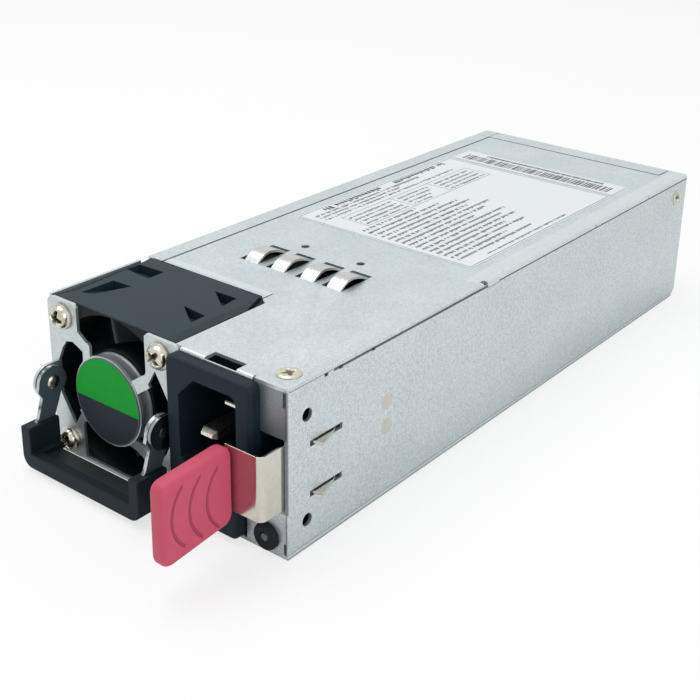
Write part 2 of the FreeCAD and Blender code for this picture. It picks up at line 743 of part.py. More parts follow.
def led_grommet():
    body = Part.makeSphere(4.6, V(grommet_x, front + 2.9, grommet_z))
    body = body.common(rod(grommet_radius, 3.0, grommet_x, front - 3.0, grommet_z, Y_AXIS))
    neck = rod(grommet_hole, sheet + 0.2, grommet_x, front, grommet_z, Y_AXIS)
    clip = rod(grommet_hole + 0.5, 1.0, grommet_x, fan_front, grommet_z, Y_AXIS)
    body = body.fuse([neck, clip]).removeSplitter()
    return body.cut(rod(lens_radius, 8, grommet_x, front - 4, grommet_z, Y_AXIS))


def led_lens():
    body = rod(lens_radius, 7.5, grommet_x, front - 1.5, grommet_z, Y_AXIS)
    dome = Part.makeSphere(lens_radius, V(grommet_x, front - 1.5, grommet_z))
    return body.fuse(dome).removeSplitter()


# Labels

def rating_label():
    x = left + label_inset
    y = front + label_front
    return block(x, x + label_width, y, y + label_length, top, top + label_thick)


def barcode_label():
    x = left + label_inset + 0.3
    y = front + label_front + label_length + label_gap
    return block(x, x + label_width - 0.7, y, y + barcode_length, top, top + label_thick)


# Boards and what stands on them

def main_board():
    plate = block(left + sheet + 1.2, right - sheet - 2.0, board_front, rear - 2.5, board_z, board_top)
    tongue = block(-tongue_width / 2, tongue_width / 2, rear - 3, rear + tongue_reach, board_z, board_top)
    body = plate.fuse(tongue).removeSplitter()
    body = body.cut(block(6.0, 7.8, rear + 1.5, rear + tongue_reach + 1, board_z - 1, board_top + 1))
    for x, y in post_places:
        body = body.cut(rod(screw_shank + hole_clear, 4, x, y, board_z - 1, Z_AXIS))
    return body


def edge_contacts():
    """Gilt pads on both faces of the tongue: wide power pads at the left, narrow ones at the right."""
    pads = []
    for z in (board_z - 0.1, board_top):
        for i in range(4):
            x = -tongue_width / 2 + 1.0 + 6.4 * i
            pads.append(block(x, x + 5.6, rear + 1.6, rear + tongue_reach - 0.6, z, z + 0.1))
        for i in range(9):
            x = 8.6 + 1.3 * i
            pads.append(block(x, x + 0.8, rear + 1.6, rear + tongue_reach - 0.6, z, z + 0.1))
    return Part.makeCompound(pads)


def insulator_sheet():
    body = block(left + sheet + 0.6, right - sheet - 0.6, board_front, rear - 1.6, sheet, sheet + 0.3)
    for x, y in post_places:
        body = body.cut(rod(post_radius + hole_clear, 2, x, y, sheet - 0.5, Z_AXIS))
    return body


def board_posts():
    height = board_z - sheet
    posts = [tube(post_radius, screw_shank, height, x, y, sheet, Z_AXIS) for x, y in post_places]
    return Part.makeCompound(posts)


def board_screws():
    screws = []
    for x, y in post_places:
        screws.append(screw(x, y, board_top, Z_AXIS * -1, post_radius, 1.9, screw_shank, 5.0))
    return Part.makeCompound(screws)


def bulk_capacitor():
    body = rod(cap_radius, cap_length, cap_x, cap_y, cap_z, Y_AXIS)
    return body.cut(tube(cap_radius + 1, cap_radius - 0.7, 1.4, cap_x, cap_y + 3.0, cap_z, Y_AXIS))


def bulk_cap_sleeve():
    return tube(cap_radius + cap_sleeve, cap_radius, cap_length - 4.4, cap_x, cap_y + 4.4, cap_z, Y_AXIS)


def line_choke_core():
    return tube(choke_outer, choke_inner, 9.0, choke_x, choke_y, choke_z, Y_AXIS)


def line_choke_winding():
    """Two windings on the left and right halves of the ring core."""
    parts = []
    reach = choke_outer + choke_wire
    for angle in (0, 180):
        wrap = tube(reach, choke_inner - choke_wire, 9.0 + 2 * choke_wire, 0, -choke_wire, 0, Y_AXIS)
        wrap = wrap.cut(tube(choke_outer, choke_inner, 9.0, 0, 0, 0, Y_AXIS))
        wedge = [(0, 0), (1.3 * reach, -reach), (1.3 * reach, reach)]
        wrap = wrap.common(outline_xz(wedge, -2 * choke_wire, 9.0 + 4 * choke_wire))
        wrap.rotate(V(0, 0, 0), Y_AXIS, angle)
        wrap.translate(V(choke_x, choke_y, choke_z))
        parts.append(wrap)
    return Part.makeCompound(parts)


def film_capacitor():
    half = 9.5
    body = block(choke_x - half, choke_x + half, film_y, film_y + film_depth, board_top, board_top + 17.0)
    return body.makeFillet(0.8, body.Edges)


def shell_core(x, y, width, depth, height, yoke, leg):
    """Ferrite core: two upright sides, a top and a bottom, and a round middle leg for the coil."""
    body = block(x - width / 2, x + width / 2, y - depth / 2, y + depth / 2,
                 board_top, board_top + height)
    gap = block(x - width / 2 - 1, x + width / 2 + 1, y - depth / 2 + yoke, y + depth / 2 - yoke,
                board_top + yoke, board_top + height - yoke)
    middle = rod(leg, height - 2 * yoke, x, y, board_top + yoke, Z_AXIS)
    return body.cut(gap).fuse(middle).removeSplitter()


def shell_coil(x, y, width, depth, height, yoke, leg):
    """Coil round the middle leg, flattened where it passes between the core's sides."""
    low = board_top + yoke + 0.2
    half = depth / 2 - yoke - 0.2
    coil = rod(width / 2 - 0.6, height - 2 * yoke - 0.4, x, y, low, Z_AXIS)
    coil = coil.common(block(x - width, x + width, y - half, y + half, 0, top))
    return coil.cut(rod(leg, height, x, y, low - 1, Z_AXIS))


boost_core = (choke_x + 0.5, boost_y + boost_depth / 2, 24.0, boost_depth, boost_height, 3.5, 5.5)
main_core = (left + 17.75, core_y + core_depth / 2, 28.0, core_depth, core_height, 4.5, 6.0)


def pfc_choke_core():
    return shell_core(*boost_core)


def pfc_choke_winding():
    return shell_coil(*boost_core)


def transformer_core():
    return shell_core(*main_core)


def transformer_winding():
    return shell_coil(*main_core)


def heatsink():
    fins = 6
    pitch = (sink_top - board_top - 5.0) / fins
    body = block(sink_x, sink_x + 2.4, sink_front, sink_rear, board_top, sink_top)
    for i in range(fins):
        z = board_top + 4.0 + pitch * i
        body = body.fuse(block(sink_x + 2.4, sink_x + 12.0, sink_front, sink_rear, z, z + 1.0))
    return body.removeSplitter()


def power_transistors():
    count = 4
    pitch = (sink_rear - sink_front) / count
    parts = []
    for i in range(count):
        y = sink_front + pitch * (i + 0.5)
        parts.append(block(sink_x - 2.6, sink_x, y - pitch / 3, y + pitch / 3,
                           board_top + 6.0, sink_top - 6.0))
    return Part.makeCompound(parts)


def output_capacitors():
    cans = []
    pitch = 2 * can_radius + 1.4
    for i in range(6):
        for row in (0, 1):
            x = left + 8.75 + pitch * i
            cans.append(rod(can_radius, 11.5, x, can_y + can_radius + pitch * row, board_top, Z_AXIS))
    return Part.makeCompound(cans)


def output_busbars():
    bars = []
    for x0, x1 in ((-20.0, -3.0), (-1.0, 5.0)):
        bars.append(block(x0, x1, bar_y, bar_y + bar_length, board_top, board_top + 2.2))
    return Part.makeCompound(bars)


def control_board():
    return block(control_x, control_x + 1.2, sink_front + 1, sink_rear + 2, board_top, part_top - 3.8)


def control_chips():
    chips = []
    for y, z, w, h in ((6.0, 6.0, 10.0, 10.0), (20.0, 8.0, 8.0, 6.0), (31.0, 7.0, 9.0, 12.0)):
        chips.append(block(control_x - 1.4, control_x, sink_front + y, sink_front + y + w,
                           board_top + z, board_top + z + h))
    return Part.makeCompound(chips)


def bent_lead(x, y, z, run, radius):
    """Insulated lead that leaves rearwards, bends down and ends on the board."""
    bend = lead_bend
    turn = y + run + bend
    half = math.sqrt(0.5)
    mid = V(x, y + run + bend * half, z - bend * (1 - half))
    level = Part.makeLine(V(x, y, z), V(x, y + run, z))
    corner = Part.Arc(V(x, y + run, z), mid, V(x, turn, z - bend)).toShape()
    drop = Part.makeLine(V(x, turn, z - bend), V(x, turn, board_top))
    path = Part.Wire([level, corner, drop])
    ring = Part.Wire([Part.makeCircle(radius, V(x, y, z), Y_AXIS)])
    return path.makePipeShell([ring], True, False)


def inlet_leads():
    start = front + inlet_depth + tag_length
    leads = []
    for (x, z), run in zip(pin_places(), (5.4, 0.6, 2.2)):
        leads.append(bent_lead(x, start, z, run, lead_radius))
    return Part.makeCompound(leads)


def fan_lead():
    return bent_lead(fan_right - 3.0, fan_rear, board_top + 5.4, 0.4, 0.8)


nodes = {
    "chassis": chassis, "top_cover": top_cover, "cover_screw": cover_screw, "side_screw": side_screw,
    "fan_frame": fan_frame, "fan_impeller": fan_impeller, "rotor_yoke": rotor_yoke,
    "rotor_magnet": rotor_magnet, "fan_shaft": fan_shaft, "fan_bearings": fan_bearings,
    "fan_stator": fan_stator, "fan_coils": fan_coils, "fan_screws": fan_screws,
    "fan_guard": fan_guard, "guard_badge": guard_badge,
    "handle_bail": handle_bail, "handle_grip": handle_grip, "handle_rivets": handle_rivets,
    "inlet_housing": inlet_housing, "pins_line_neutral": pins_line_neutral, "pin_earth": pin_earth,
    "latch_spring": latch_spring, "latch_tab": latch_tab, "latch_root": latch_root,
    "latch_shim": latch_shim, "latch_rivets": latch_rivets,
    "led_grommet": led_grommet, "led_lens": led_lens,
    "rating_label": rating_label, "barcode_label": barcode_label,
    "main_board": main_board, "edge_contacts": edge_contacts, "insulator_sheet": insulator_sheet,
    "board_posts": board_posts, "board_screws": board_screws,
    "bulk_capacitor": bulk_capacitor, "bulk_cap_sleeve": bulk_cap_sleeve,
    "line_choke_core": line_choke_core, "line_choke_winding": line_choke_winding,
    "film_capacitor": film_capacitor,
    "pfc_choke_core": pfc_choke_core, "pfc_choke_winding": pfc_choke_winding,
    "transformer_core": transformer_core, "transformer_winding": transformer_winding,
    "heatsink": heatsink, "power_transistors": power_transistors,
    "output_capacitors": output_capacitors, "output_busbars": output_busbars,
    "control_board": control_board, "control_chips": control_chips,
    "inlet_leads": inlet_leads, "fan_lead": fan_lead,
}

os.makedirs("parts", exist_ok=True)
for name, make in nodes.items():
    shape = make()
    shape.exportStep("parts/" + name + ".step")
    print(name, len(shape.Solids), round(shape.Volume, 1), shape.isValid())
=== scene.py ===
import json
import math
import bmesh
import bpy
import numpy as np
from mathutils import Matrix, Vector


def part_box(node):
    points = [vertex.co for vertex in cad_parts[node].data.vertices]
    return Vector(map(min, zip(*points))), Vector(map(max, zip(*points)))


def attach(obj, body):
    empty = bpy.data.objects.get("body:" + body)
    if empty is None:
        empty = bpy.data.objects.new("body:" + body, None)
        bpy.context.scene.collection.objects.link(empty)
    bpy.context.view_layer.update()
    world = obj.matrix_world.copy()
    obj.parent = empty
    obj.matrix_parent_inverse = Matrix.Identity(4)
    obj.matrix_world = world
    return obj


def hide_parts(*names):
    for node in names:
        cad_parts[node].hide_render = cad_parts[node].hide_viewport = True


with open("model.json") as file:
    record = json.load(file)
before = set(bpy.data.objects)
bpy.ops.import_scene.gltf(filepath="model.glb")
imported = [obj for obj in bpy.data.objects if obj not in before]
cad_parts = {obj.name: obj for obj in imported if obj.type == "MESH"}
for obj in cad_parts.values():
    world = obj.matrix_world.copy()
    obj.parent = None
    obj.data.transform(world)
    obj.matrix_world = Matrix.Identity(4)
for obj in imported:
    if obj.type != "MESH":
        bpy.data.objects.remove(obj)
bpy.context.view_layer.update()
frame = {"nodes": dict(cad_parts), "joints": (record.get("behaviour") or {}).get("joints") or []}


# Case shell.
# A tray of galvanised sheet steel, 0.8 mm thick, folded up at both sides and the rear.
# It keeps the mill's fine spangle, and its sheared edges are slightly broken.

MM = 0.001


def box_of(node):
    """Lowest and highest corner of a CAD node, in millimetres."""
    return np.array(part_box(node)) / MM


case_low, case_high = np.round(box_of("chassis"), 3)
front = case_low[1]
wall_face = case_high[0]
top_face = case_high[2]
gauge = 0.8
broken_edge = 0.12
weld = 0.002 * MM
# The two sides of the gap behind the fan, counted from the front of the case.
fan_gap = (28.0, 31.15)


class Wire:
    """One value in a material's node tree. Sums, products and comparisons of values and plain
    numbers become Math nodes, and node() adds a node of any other kind."""

    def __init__(self, tree, out=None):
        self.tree = tree
        self.out = out

    def node(self, kind, settings=None, values=None, take=0):
        """Adds one node: its settings first, then its inputs by name or place, and returns the
        output that is asked for."""
        made = self.tree.nodes.new("ShaderNode" + kind)
        for key, value in (settings or {}).items():
            setattr(made, key, value)
        for key, value in (values or {}).items():
            if isinstance(value, Wire):
                self.tree.links.new(value.out, made.inputs[key])
            else:
                made.inputs[key].default_value = value
        return Wire(self.tree, made.outputs[take])

    def maths(self, operation, first, second=0.0):
        """Adds a Math node for two values, either of which may be a plain number."""
        return self.node("Math", {"operation": operation}, {0: first, 1: second})

    def __add__(self, other):
        return self.maths("ADD", self, other)

    def __radd__(self, other):
        return self.maths("ADD", other, self)

    def __sub__(self, other):
        return self.maths("SUBTRACT", self, other)

    def __rsub__(self, other):
        return self.maths("SUBTRACT", other, self)

    def __mul__(self, other):
        return self.maths("MULTIPLY", self, other)

    def __rmul__(self, other):
        return self.maths("MULTIPLY", other, self)

    def __pow__(self, other):
        return self.maths("POWER", self, other)

    def __gt__(self, other):
        return self.maths("GREATER_THAN", self, other)

    def __lt__(self, other):
        return self.maths("LESS_THAN", self, other)

    def __abs__(self):
        return self.maths("ABSOLUTE", self)


def tint(red, green, blue):
    """Display colour from 0 to 255, turned to the linear value that a shader takes."""
    c = np.array([red, green, blue]) / 255.0
    linear = np.where(c <= 0.04045, c / 12.92, ((c + 0.055) / 1.055) ** 2.4)
    return (*linear.tolist(), 1.0)


def blend(base, first, second, share):
    """Colour between two others."""
    return base.node("Mix", {"data_type": "RGBA"}, {0: share, 6: first, 7: second}, 2)


def coating(name, **settings):
    """New material with one shader: its constant settings, and a bare wire to build on."""
    material = bpy.data.materials.new(name)
    material.use_nodes = True
    shader = material.node_tree.nodes["Principled BSDF"]
    for key, value in settings.items():
        shader.inputs[key.replace("_", " ")].default_value = value
    return material, shader, Wire(material.node_tree)


def feed(shader, base, colour, roughness=None, normal=None, metallic=None):
    """Links the patterns that vary over a surface to its shader."""
    for key, value in (("Base Color", colour), ("Roughness", roughness), ("Normal", normal),
                       ("Metallic", metallic)):
        if value is not None:
            base.tree.links.new(value.out, shader.inputs[key])


def grain(base, size, detail=2.0, roughness=0.5):
    """Soft noise from 0 to 1 with features of the given size in millimetres."""
    place = base.node("TexCoord", take="Object")
    values = {"Vector": place, "Scale": 1 / MM / size, "Detail": detail, "Roughness": roughness}
    return base.node("TexNoise", {}, values)


def relief(base, height, depth, normal=None):
    """Bump of the given depth in millimetres from a height of 0 to 1."""
    values = {"Height": height, "Distance": depth * MM, "Strength": 1.0}
    if normal is not None:
        values["Normal"] = normal
    return base.node("Bump", {}, values)


def rise(value, start, end, base):
    """Smooth step from 0 at start to 1 at end."""
    values = {"Value": value, "From Min": start, "From Max": end}
    return base.node("MapRange", {"interpolation_type": "SMOOTHSTEP"}, values)


def span(value, low, high):
    """1 where a value lies between two limits, and 0 elsewhere."""
    return (value > low) * (value < high)


def either(first, second):
    """The greater of two masks."""
    return first.maths("MAXIMUM", first, second)


def distance(first, second):
    """How far a point lies from an axis, from its two offsets."""
    return (first ** 2.0 + second ** 2.0) ** 0.5


def places(base):
    """The three coordinates of a point of the object, in millimetres."""
    point = base.node("TexCoord", take="Object")
    return [base.node("SeparateXYZ", {}, {0: point}, take) * (1 / MM) for take in range(3)]


zinc_light = tint(216, 224, 226)
zinc_dark = tint(166, 177, 180)
# Painted shade for the gaps where the cover meets the shell.
painted_gap_shade = tint(66, 73, 76)


def galvanised(name):
    """Zinc coated sheet: a fine glitter of crystals over soft clouding. The glitter is strongest
    on the side walls, weaker on the front and rear, and weakest on top."""
    material, shader, base = coating(name, Metallic=0.8)
    crystals = grain(base, 0.35, 2.0, 0.75)
    patches = grain(base, 0.9, 2.0, 0.6)
    clouds = grain(base, 14.0, 3.0)
    x, y, z = places(base)
    upright = either(abs(x) > wall_face - 0.15, (abs(y) > -front - 0.1) * 0.5)
    fleck = rise(crystals * 0.7 + patches * 0.3, 0.36, 0.64, base)
    share = fleck * (upright * 0.4 + 0.45) + (0.26 - upright * 0.06) + (clouds - 0.5) * 0.4
    colour = blend(base, zinc_dark, zinc_light, share)
    roughness = crystals * 0.22 + 0.3
    return material, shader, base, colour, roughness, (x, y, z), relief(base, crystals, 0.01)


def lay(name, grids):
    """One mesh from parametric grids. Each row of points closes on itself. A capped grid gets a
    face over its first and its last row, and a joined one closes its last row to its first."""
    points, faces, start = [], [], 0
    for grid, ends in grids:
        rows, columns = grid.shape[:2]
        index = start + np.arange(rows * columns).reshape(rows, columns)
        if ends == "joined":
            index = np.concatenate([index, index[:1]])
        beside = np.roll(index, -1, axis=1)
        quads = np.stack([index[:-1], beside[:-1], beside[1:], index[1:]], axis=-1)
        faces += quads.reshape(-1, 4).tolist()
        if ends == "capped":
            faces += [index[0, ::-1].tolist(), index[-1].tolist()]
        points.append(grid.reshape(-1, 3))
        start += rows * columns
    mesh = bpy.data.meshes.new(name)
    mesh.from_pydata((np.concatenate(points) * MM).tolist(), [], faces)
    work = bmesh.new()
    work.from_mesh(mesh)
    bmesh.ops.recalc_face_normals(work, faces=work.faces)
    work.to_mesh(mesh)
    work.free()
    return mesh


def prism(axis, outline, start, end):
    """A flat outline carried straight along one axis, as two rows of the same points. The other
    two coordinates come in the order x, y, z, and y counts from the front of the case."""
    ring = np.array(outline, dtype=float)
    grid = np.stack([np.insert(ring, "xyz".index(axis), level, axis=1) for level in (start, end)])
    grid[..., 1] += front
    return grid, "capped"


def slab(x0, x1, y0, y1, z0, z1):
    """A straight block between two values of each coordinate."""
    return prism("z", [(x0, y0), (x1, y0), (x1, y1), (x0, y1)], z0, z1)


def arc(a, b, radius, start, end, steps=8):
    """Points on part of a circle, from one angle in degrees to another."""
    turn = np.radians(np.linspace(start, end, steps))
    return list(zip(a + radius * np.cos(turn), b + radius * np.sin(turn)))


def rod(axis, radius, a, b, start, end, steps=64):
    """A round prism: a circle about a point, carried along one axis."""
    return prism(axis, arc(a, b, radius, 0, 360, steps + 1)[:-1], start, end)


def placed(name, data):
    """New object in the scene, left at the origin."""
    piece = bpy.data.objects.new(name, data)
    bpy.context.scene.collection.objects.link(piece)
    return piece


def worked(mesh, *steps):
    """Joins solids to a mesh or cuts them out of it, one step after another."""
    blank = placed("blank", mesh)
    used = [blank]
    for operation, grids in steps:
        tool = placed("tool", lay("tool", grids))
        change = blank.modifiers.new("change", "BOOLEAN")
        change.operation = operation
        change.object = tool
        change.use_self = True
        used.append(tool)
    ready = blank.evaluated_get(bpy.context.evaluated_depsgraph_get())
    result = bpy.data.meshes.new_from_object(ready)
    for extra in used:
        bpy.data.objects.remove(extra)
    return result


def copied(node):
    """Welded copy of a CAD node's skin."""
    mesh = frame["nodes"][node].data.copy()
    work = bmesh.new()
    work.from_mesh(mesh)
    bmesh.ops.remove_doubles(work, verts=work.verts, dist=weld)
    work.to_mesh(mesh)
    work.free()
    return mesh


def smooth(mesh, material, sharp):
    """Gives a mesh its material, and smooth faces that only meet in an edge past an angle."""
    mesh.materials.clear()
    mesh.materials.append(material)
    mesh.polygons.foreach_set("use_smooth", [True] * len(mesh.polygons))
    mesh.set_sharp_from_angle(angle=math.radians(sharp))


def dressed(name, node, body, material, mesh, edge, steps=2):
    """Piece in place of a CAD node: its triangles are merged to flat faces, and its edges past
    30 degrees are rounded off to a small radius."""
    sharp = 30
    mesh.name = name
    work = bmesh.new()
    work.from_mesh(mesh)
    bmesh.ops.remove_doubles(work, verts=work.verts, dist=weld)
    flat = math.radians(0.6)
    bmesh.ops.dissolve_limit(work, angle_limit=flat, verts=work.verts, edges=work.edges)
    work.to_mesh(mesh)
    work.free()
    smooth(mesh, material, sharp)
    piece = placed(name, mesh)
    bevel = piece.modifiers.new("rounded_edges", "BEVEL")
    bevel.width = edge * MM
    bevel.segments = steps
    bevel.limit_method = "ANGLE"
    bevel.angle_limit = math.radians(sharp)
    bevel.harden_normals = True
    bevel.use_clamp_overlap = True
    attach(piece, body)
    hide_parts(node)
    return piece


shell_steel, shader, base, colour, roughness, (x, y, z), bumps = galvanised("shell_steel")
flange = y < front + 0.3
side = x > wall_face - 0.15
hem = z > top_face - 0.7
# Painted shade darkens the line beside the flange's outer bend, the crease along the foot of the
# wall, the sole, the lapped upper edge in the shadow of the cover, the gaps at the joints with the
# cover, and the flange between the inlet and the side wall. A painted highlight lightens the strip
# under the crease.
corner = span(abs(x), 36.22, 36.42) * flange * (1.0 - span(z, 11.8, 28.2)) * span(z, 0.9, 39.0)
fold = span(z, 1.1, 1.28) * side
under_crease_highlight = (z < 1.1) * side
sole_shade = (z < 0.35) * side
lap_shadow = span(z, top_face - 1.4, top_face - 0.7) * side * (y > front + 14.5)
rim = (span(x, -31.95, -31.6) + span(y, 85.95, 86.2) * (x < 30.6)) * hem
right_flange_shade = flange * (x > 28.4) * (z > 10.9)
colour = blend(base, colour, tint(70, 76, 78), corner * 0.85)
colour = blend(base, colour, tint(118, 126, 128), fold * 0.7)
colour = blend(base, colour, tint(228, 234, 235), under_crease_highlight * 0.35)
colour = blend(base, colour, painted_gap_shade, sole_shade * 0.55 + lap_shadow * 0.9 + rim * 0.8)
colour = blend(base, colour, tint(112, 120, 128), right_flange_shade * (0.75 - corner * 0.75))
feed(shader, base, colour, roughness, relief(base, 1.0 - fold, 0.05, bumps))
# The front flange is closed beside the inlet, then gets the joint beside the inlet, the latch's
# window, two relief slots at the bend, the gap under the fan, and the status light's hole.
fill = [slab(25.2, 28.6, 0, gauge, 0, 10.8), slab(28.0, 36.7, 0, gauge, 1.0, 39.1)]
fill += [slab(34.0, wall_face, 0, gauge, z0, z1) for z0, z1 in ((1.0, 4.4), (35.6, 39.0))]
cuts = [slab(27.0, 28.5, -1, 0.9, 10.8, 40.5), slab(27.5, 35.95, -1, 1.8, 11.65, 28.35)]
cuts += [slab(35.6, 36.4, -1, 1.6, z0, z1) for z0, z1 in ((0.95, 3.7), (35.65, 39.1))]
cuts += [slab(-38, -31.5, *fan_gap, 39.0, 41), slab(-35.95, 4.75, *fan_gap, -1, 0.9)]
cuts.append(rod("y", 2.6, 31.2, 4.1, -1, 2))
tray = worked(copied("chassis"), ("UNION", fill), ("DIFFERENCE", cuts))
shell = dressed("case_shell", "chassis", "case", shell_steel, tray, broken_edge)


# Top cover.
# A lid of the same sheet, screwed down at the front corner and at the rear of the right side.
# A press line runs behind the fan and another along the right edge. Four bridges are lanced
# out of it, and their stretched zinc is bright.

cover_steel, shader, base, colour, roughness, (x, y, z), bumps = galvanised("cover_steel")
crown = rise(z, top_face + 0.15, top_face + 0.6, base)
# Painted highlight lightens the strip along the right edge and the press line behind the fan, on top
# of their relief.
shelf = rise(x, 31.0, 32.2, base) * (y > -22.5)
press = span(y, -60.6, -58.4) * (x < 2.4)
# Painted shade in the gaps where the lid's edges meet the shell.
gap = either(x < -31.25, (y > 85.5) * (x < 30.7)) * (z < top_face + 0.1)
colour = blend(base, colour, tint(190, 189, 185), crown * 0.9)
colour = blend(base, colour, painted_gap_shade, gap * 0.8)
colour = blend(base, colour, tint(228, 235, 236), shelf * 0.25 + press * 0.3)
roughness = roughness * (1.0 - crown * 0.35)
feed(shader, base, colour, roughness, relief(base, shelf + press, 0.12, bumps))


def bridge(x, width):
    """One lanced strip as an outline of depth and height carried across. Its upper line climbs
    as a sine to its crest, then falls with a power of the distance to a free end."""
    start, rising, falling = 44.9, 4.5, 6.6
    peak, drop, thick = 2.08, 2.2, 0.6
    climb, fall = np.linspace(0, 1, 10), np.linspace(0, 1, 12)[1:]
    depth = np.concatenate([start + rising * climb, start + rising + falling * fall])
    height = np.concatenate([top_face + peak * np.sin(climb * math.pi / 2) ** 0.9,
                             top_face + peak - drop * fall ** 1.7])
    upper = list(zip(depth, height))
    lower = [(y, z - thick) for y, z in reversed(upper)]
    return prism("x", upper + lower, x, x + width)


slots = (-18.8, -10.2, -0.85, 7.5)
slot_width = 6.1
lower_face = top_face - gauge
edge_radius = 0.7
# The solid's louvres are levelled and filled. Then the slots under the bridges, the joint behind
# the fan, the slot above the inlet and the rounded front edge are cut. The bridges, the corner at
# the fan and a low bar are joined, and a slit is cut beside the corner.
fill = [slab(-20.5, 14.5, 44.0, 58.0, lower_face, top_face),
        slab(13.0, 24.0, 0.0, 3.6, lower_face, top_face)]
level = [slab(-21, 15, 43.5, 59, top_face, 44), slab(6.2, 28.0, -1, 0.85, 37.9, lower_face)]
cuts = [slab(x, x + slot_width, 45.0, 57.0, 38, 42) for x in slots]
cuts += [slab(-38, 4.75, *fan_gap, 38, 41), slab(13.85, 22.85, -1, 3.4, 38, 41)]
round_edge = [(-0.1, top_face + 0.1), (edge_radius, top_face + 0.1),
              *arc(edge_radius, top_face - edge_radius, edge_radius, 90, 180, 7),
              (-0.1, top_face - edge_radius)]
cuts += [prism("x", round_edge, 6.7, 27.4)]
cuts += [slab(x, x + 0.5, -1, 0.9, 38, 41) for x in (6.2, 27.4)]
corner = [(1.4, 31.3), (1.4, 31.15), (3.6, 29.3), (4.75, 28.5), (5.2, 28.5), (5.2, 31.3)]
joins = [bridge(x + 1.75, 4.25) for x in slots]
joins += [prism("z", corner, lower_face, top_face), slab(13.7, 23.0, 0.0, 0.35, lower_face, 39.5)]
sheet = worked(copied("top_cover"), ("DIFFERENCE", level), ("UNION", fill), ("DIFFERENCE", cuts),
               ("UNION", joins), ("DIFFERENCE", [slab(2.3, 2.7, 28.3, 33.7, 38, 41)]))
cover = dressed("lid", "top_cover", "case", cover_steel, sheet, broken_edge)


# Screws and rivets.
# Nickel plated pan heads with a cross recess punched in, each left at its own angle by the
# driver. The rivets of the latch are ground flush with the wall.

def plated(name, colour_low, colour_high, roughness_low, roughness_high, metallic=1.0):
    """Thin bright plating with a slightly uneven polish, darkened by painted shade in marked
    recesses.
    """
    material, shader, base = coating(name, Metallic=metallic)
    clouds = grain(base, 1.4, 3.0)
    fine = grain(base, 0.25, 2.0)
    # Painted shade darkens the cross recesses, from the depth in the shade attribute.
    shade = base.node("Attribute", {"attribute_name": "shade"}, take=2)
    colour = blend(base, blend(base, colour_low, colour_high, clouds), tint(58, 54, 46), shade * 0.85)
    feed(shader, base, colour, clouds * (roughness_high - roughness_low) + roughness_low,
         relief(base, fine, 0.006))
    return material


def skin(name, grids, material, body, sharp=35):
    """Piece made of parametric grids alone, with a smooth surface."""
    mesh = lay(name, grids)
    smooth(mesh, material, sharp)
    piece = placed(name, mesh)
    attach(piece, body)
    return piece


def pan_screw(place, outward, radius, height, shank, length, angle):
    """A screw as one surface of revolution with its head at a place. The crown's height falls
    with the fourth power of the distance from the axis. Where a point lies in either arm of
    a cross, it is pushed in, less so towards the arm's end. The depth of the recess, from 0 to 1,
    comes as a fourth value of each point."""
    outward = np.array(outward, dtype=float)
    turn = np.linspace(0, 2 * math.pi, 96, endpoint=False)
    crown = np.linspace(1.0, 0.0, 30)[:-1]
    thread = [(shank * 0.7, -length), (shank, -length + 0.4), (shank, 0.0)]
    rim = [(radius * 0.94, 0.0), (radius, height * 0.08), (radius, height * 0.26),
           (radius * 0.96, height * 0.33)]
    dome = np.column_stack([radius * 0.87 * crown, height * (0.38 + 0.62 * (1 - crown ** 4) ** 0.6)])
    radii, rise_up = np.concatenate([thread, rim, dome, [(radius * 0.012, height)]]).T
    u = radii[:, None] * np.cos(turn + angle)
    v = radii[:, None] * np.sin(turn + angle)
    half, arm = 0.17 * radius, 0.66 * radius
    slope = 0.07 * radius

    def groove(across, along):
        """1 inside one arm of the cross, whose width narrows outwards, and 0 outside it."""
        reach = np.abs(along)
        width = half * (1.2 - 0.5 * reach / arm)
        inside = np.clip((width - np.abs(across)) / slope + 0.5, 0, 1)
        return inside * np.clip((arm - reach) / (0.3 * radius), 0, 1)

    cross = np.maximum(groove(u, v), groove(v, u)) * (rise_up[:, None] > height * 0.35)
    up = rise_up[:, None] - cross * min(height * 0.75, 1.5)
    first = np.roll(outward, 1)
    second = np.cross(outward, first)
    points = np.array(place) + up[..., None] * outward
    points = points + (radii[:, None] * np.cos(turn))[..., None] * first
    points = points + (radii[:, None] * np.sin(turn))[..., None] * second
    return np.concatenate([points, cross[..., None]], -1)


def screws(name, heads, material):
    """Screws as one piece, whose recesses are marked for the material's painted shade."""
    piece = skin(name, [(head[..., :3], "capped") for head in heads], material, "case")
    depths = np.concatenate([head[..., 3].ravel() for head in heads])
    piece.data.attributes.new("shade", "FLOAT", "POINT").data.foreach_set("value", depths)
    return piece


nickel = plated("nickel_plate", tint(158, 152, 136), tint(236, 232, 220), 0.16, 0.32)
brassy = plated("yellow_nickel", tint(176, 172, 152), tint(228, 224, 206), 0.24, 0.38)
rivet_steel = plated("ground_rivet", tint(186, 185, 174), tint(212, 210, 200), 0.4, 0.55)
low, high = box_of("fan_screws")
head_radius = 3.2
head_x = (low[0] + head_radius, high[0] - head_radius)
head_z = (low[2] + head_radius, high[2] - head_radius)
corners = [(x, front, z) for z in head_z for x in head_x]
heads = [pan_screw(place, (0, -1, 0), head_radius, 2.3, 1.7, 7.8, angle)
         for place, angle in zip(corners, (0.5, 1.1, 0.25, 0.7))]
fan_bolts = screws("pan_screws", heads, nickel)
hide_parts("fan_screws")
middle = box_of("cover_screw").mean(0)
lid_head = pan_screw((middle[0], middle[1], top_face), (0, 0, 1), 2.75, 0.4, 1.45, 4.8, 0.6)
lid_screw = screws("lid_screw", [lid_head], brassy)
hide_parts("cover_screw")
middle = box_of("side_screw").mean(0)
wall_head = pan_screw((wall_face, middle[1], middle[2]), (1, 0, 0), 2.4, 0.35, 1.45, 4.3, 0.3)
wall_screw = screws("wall_screw", [wall_head], brassy)
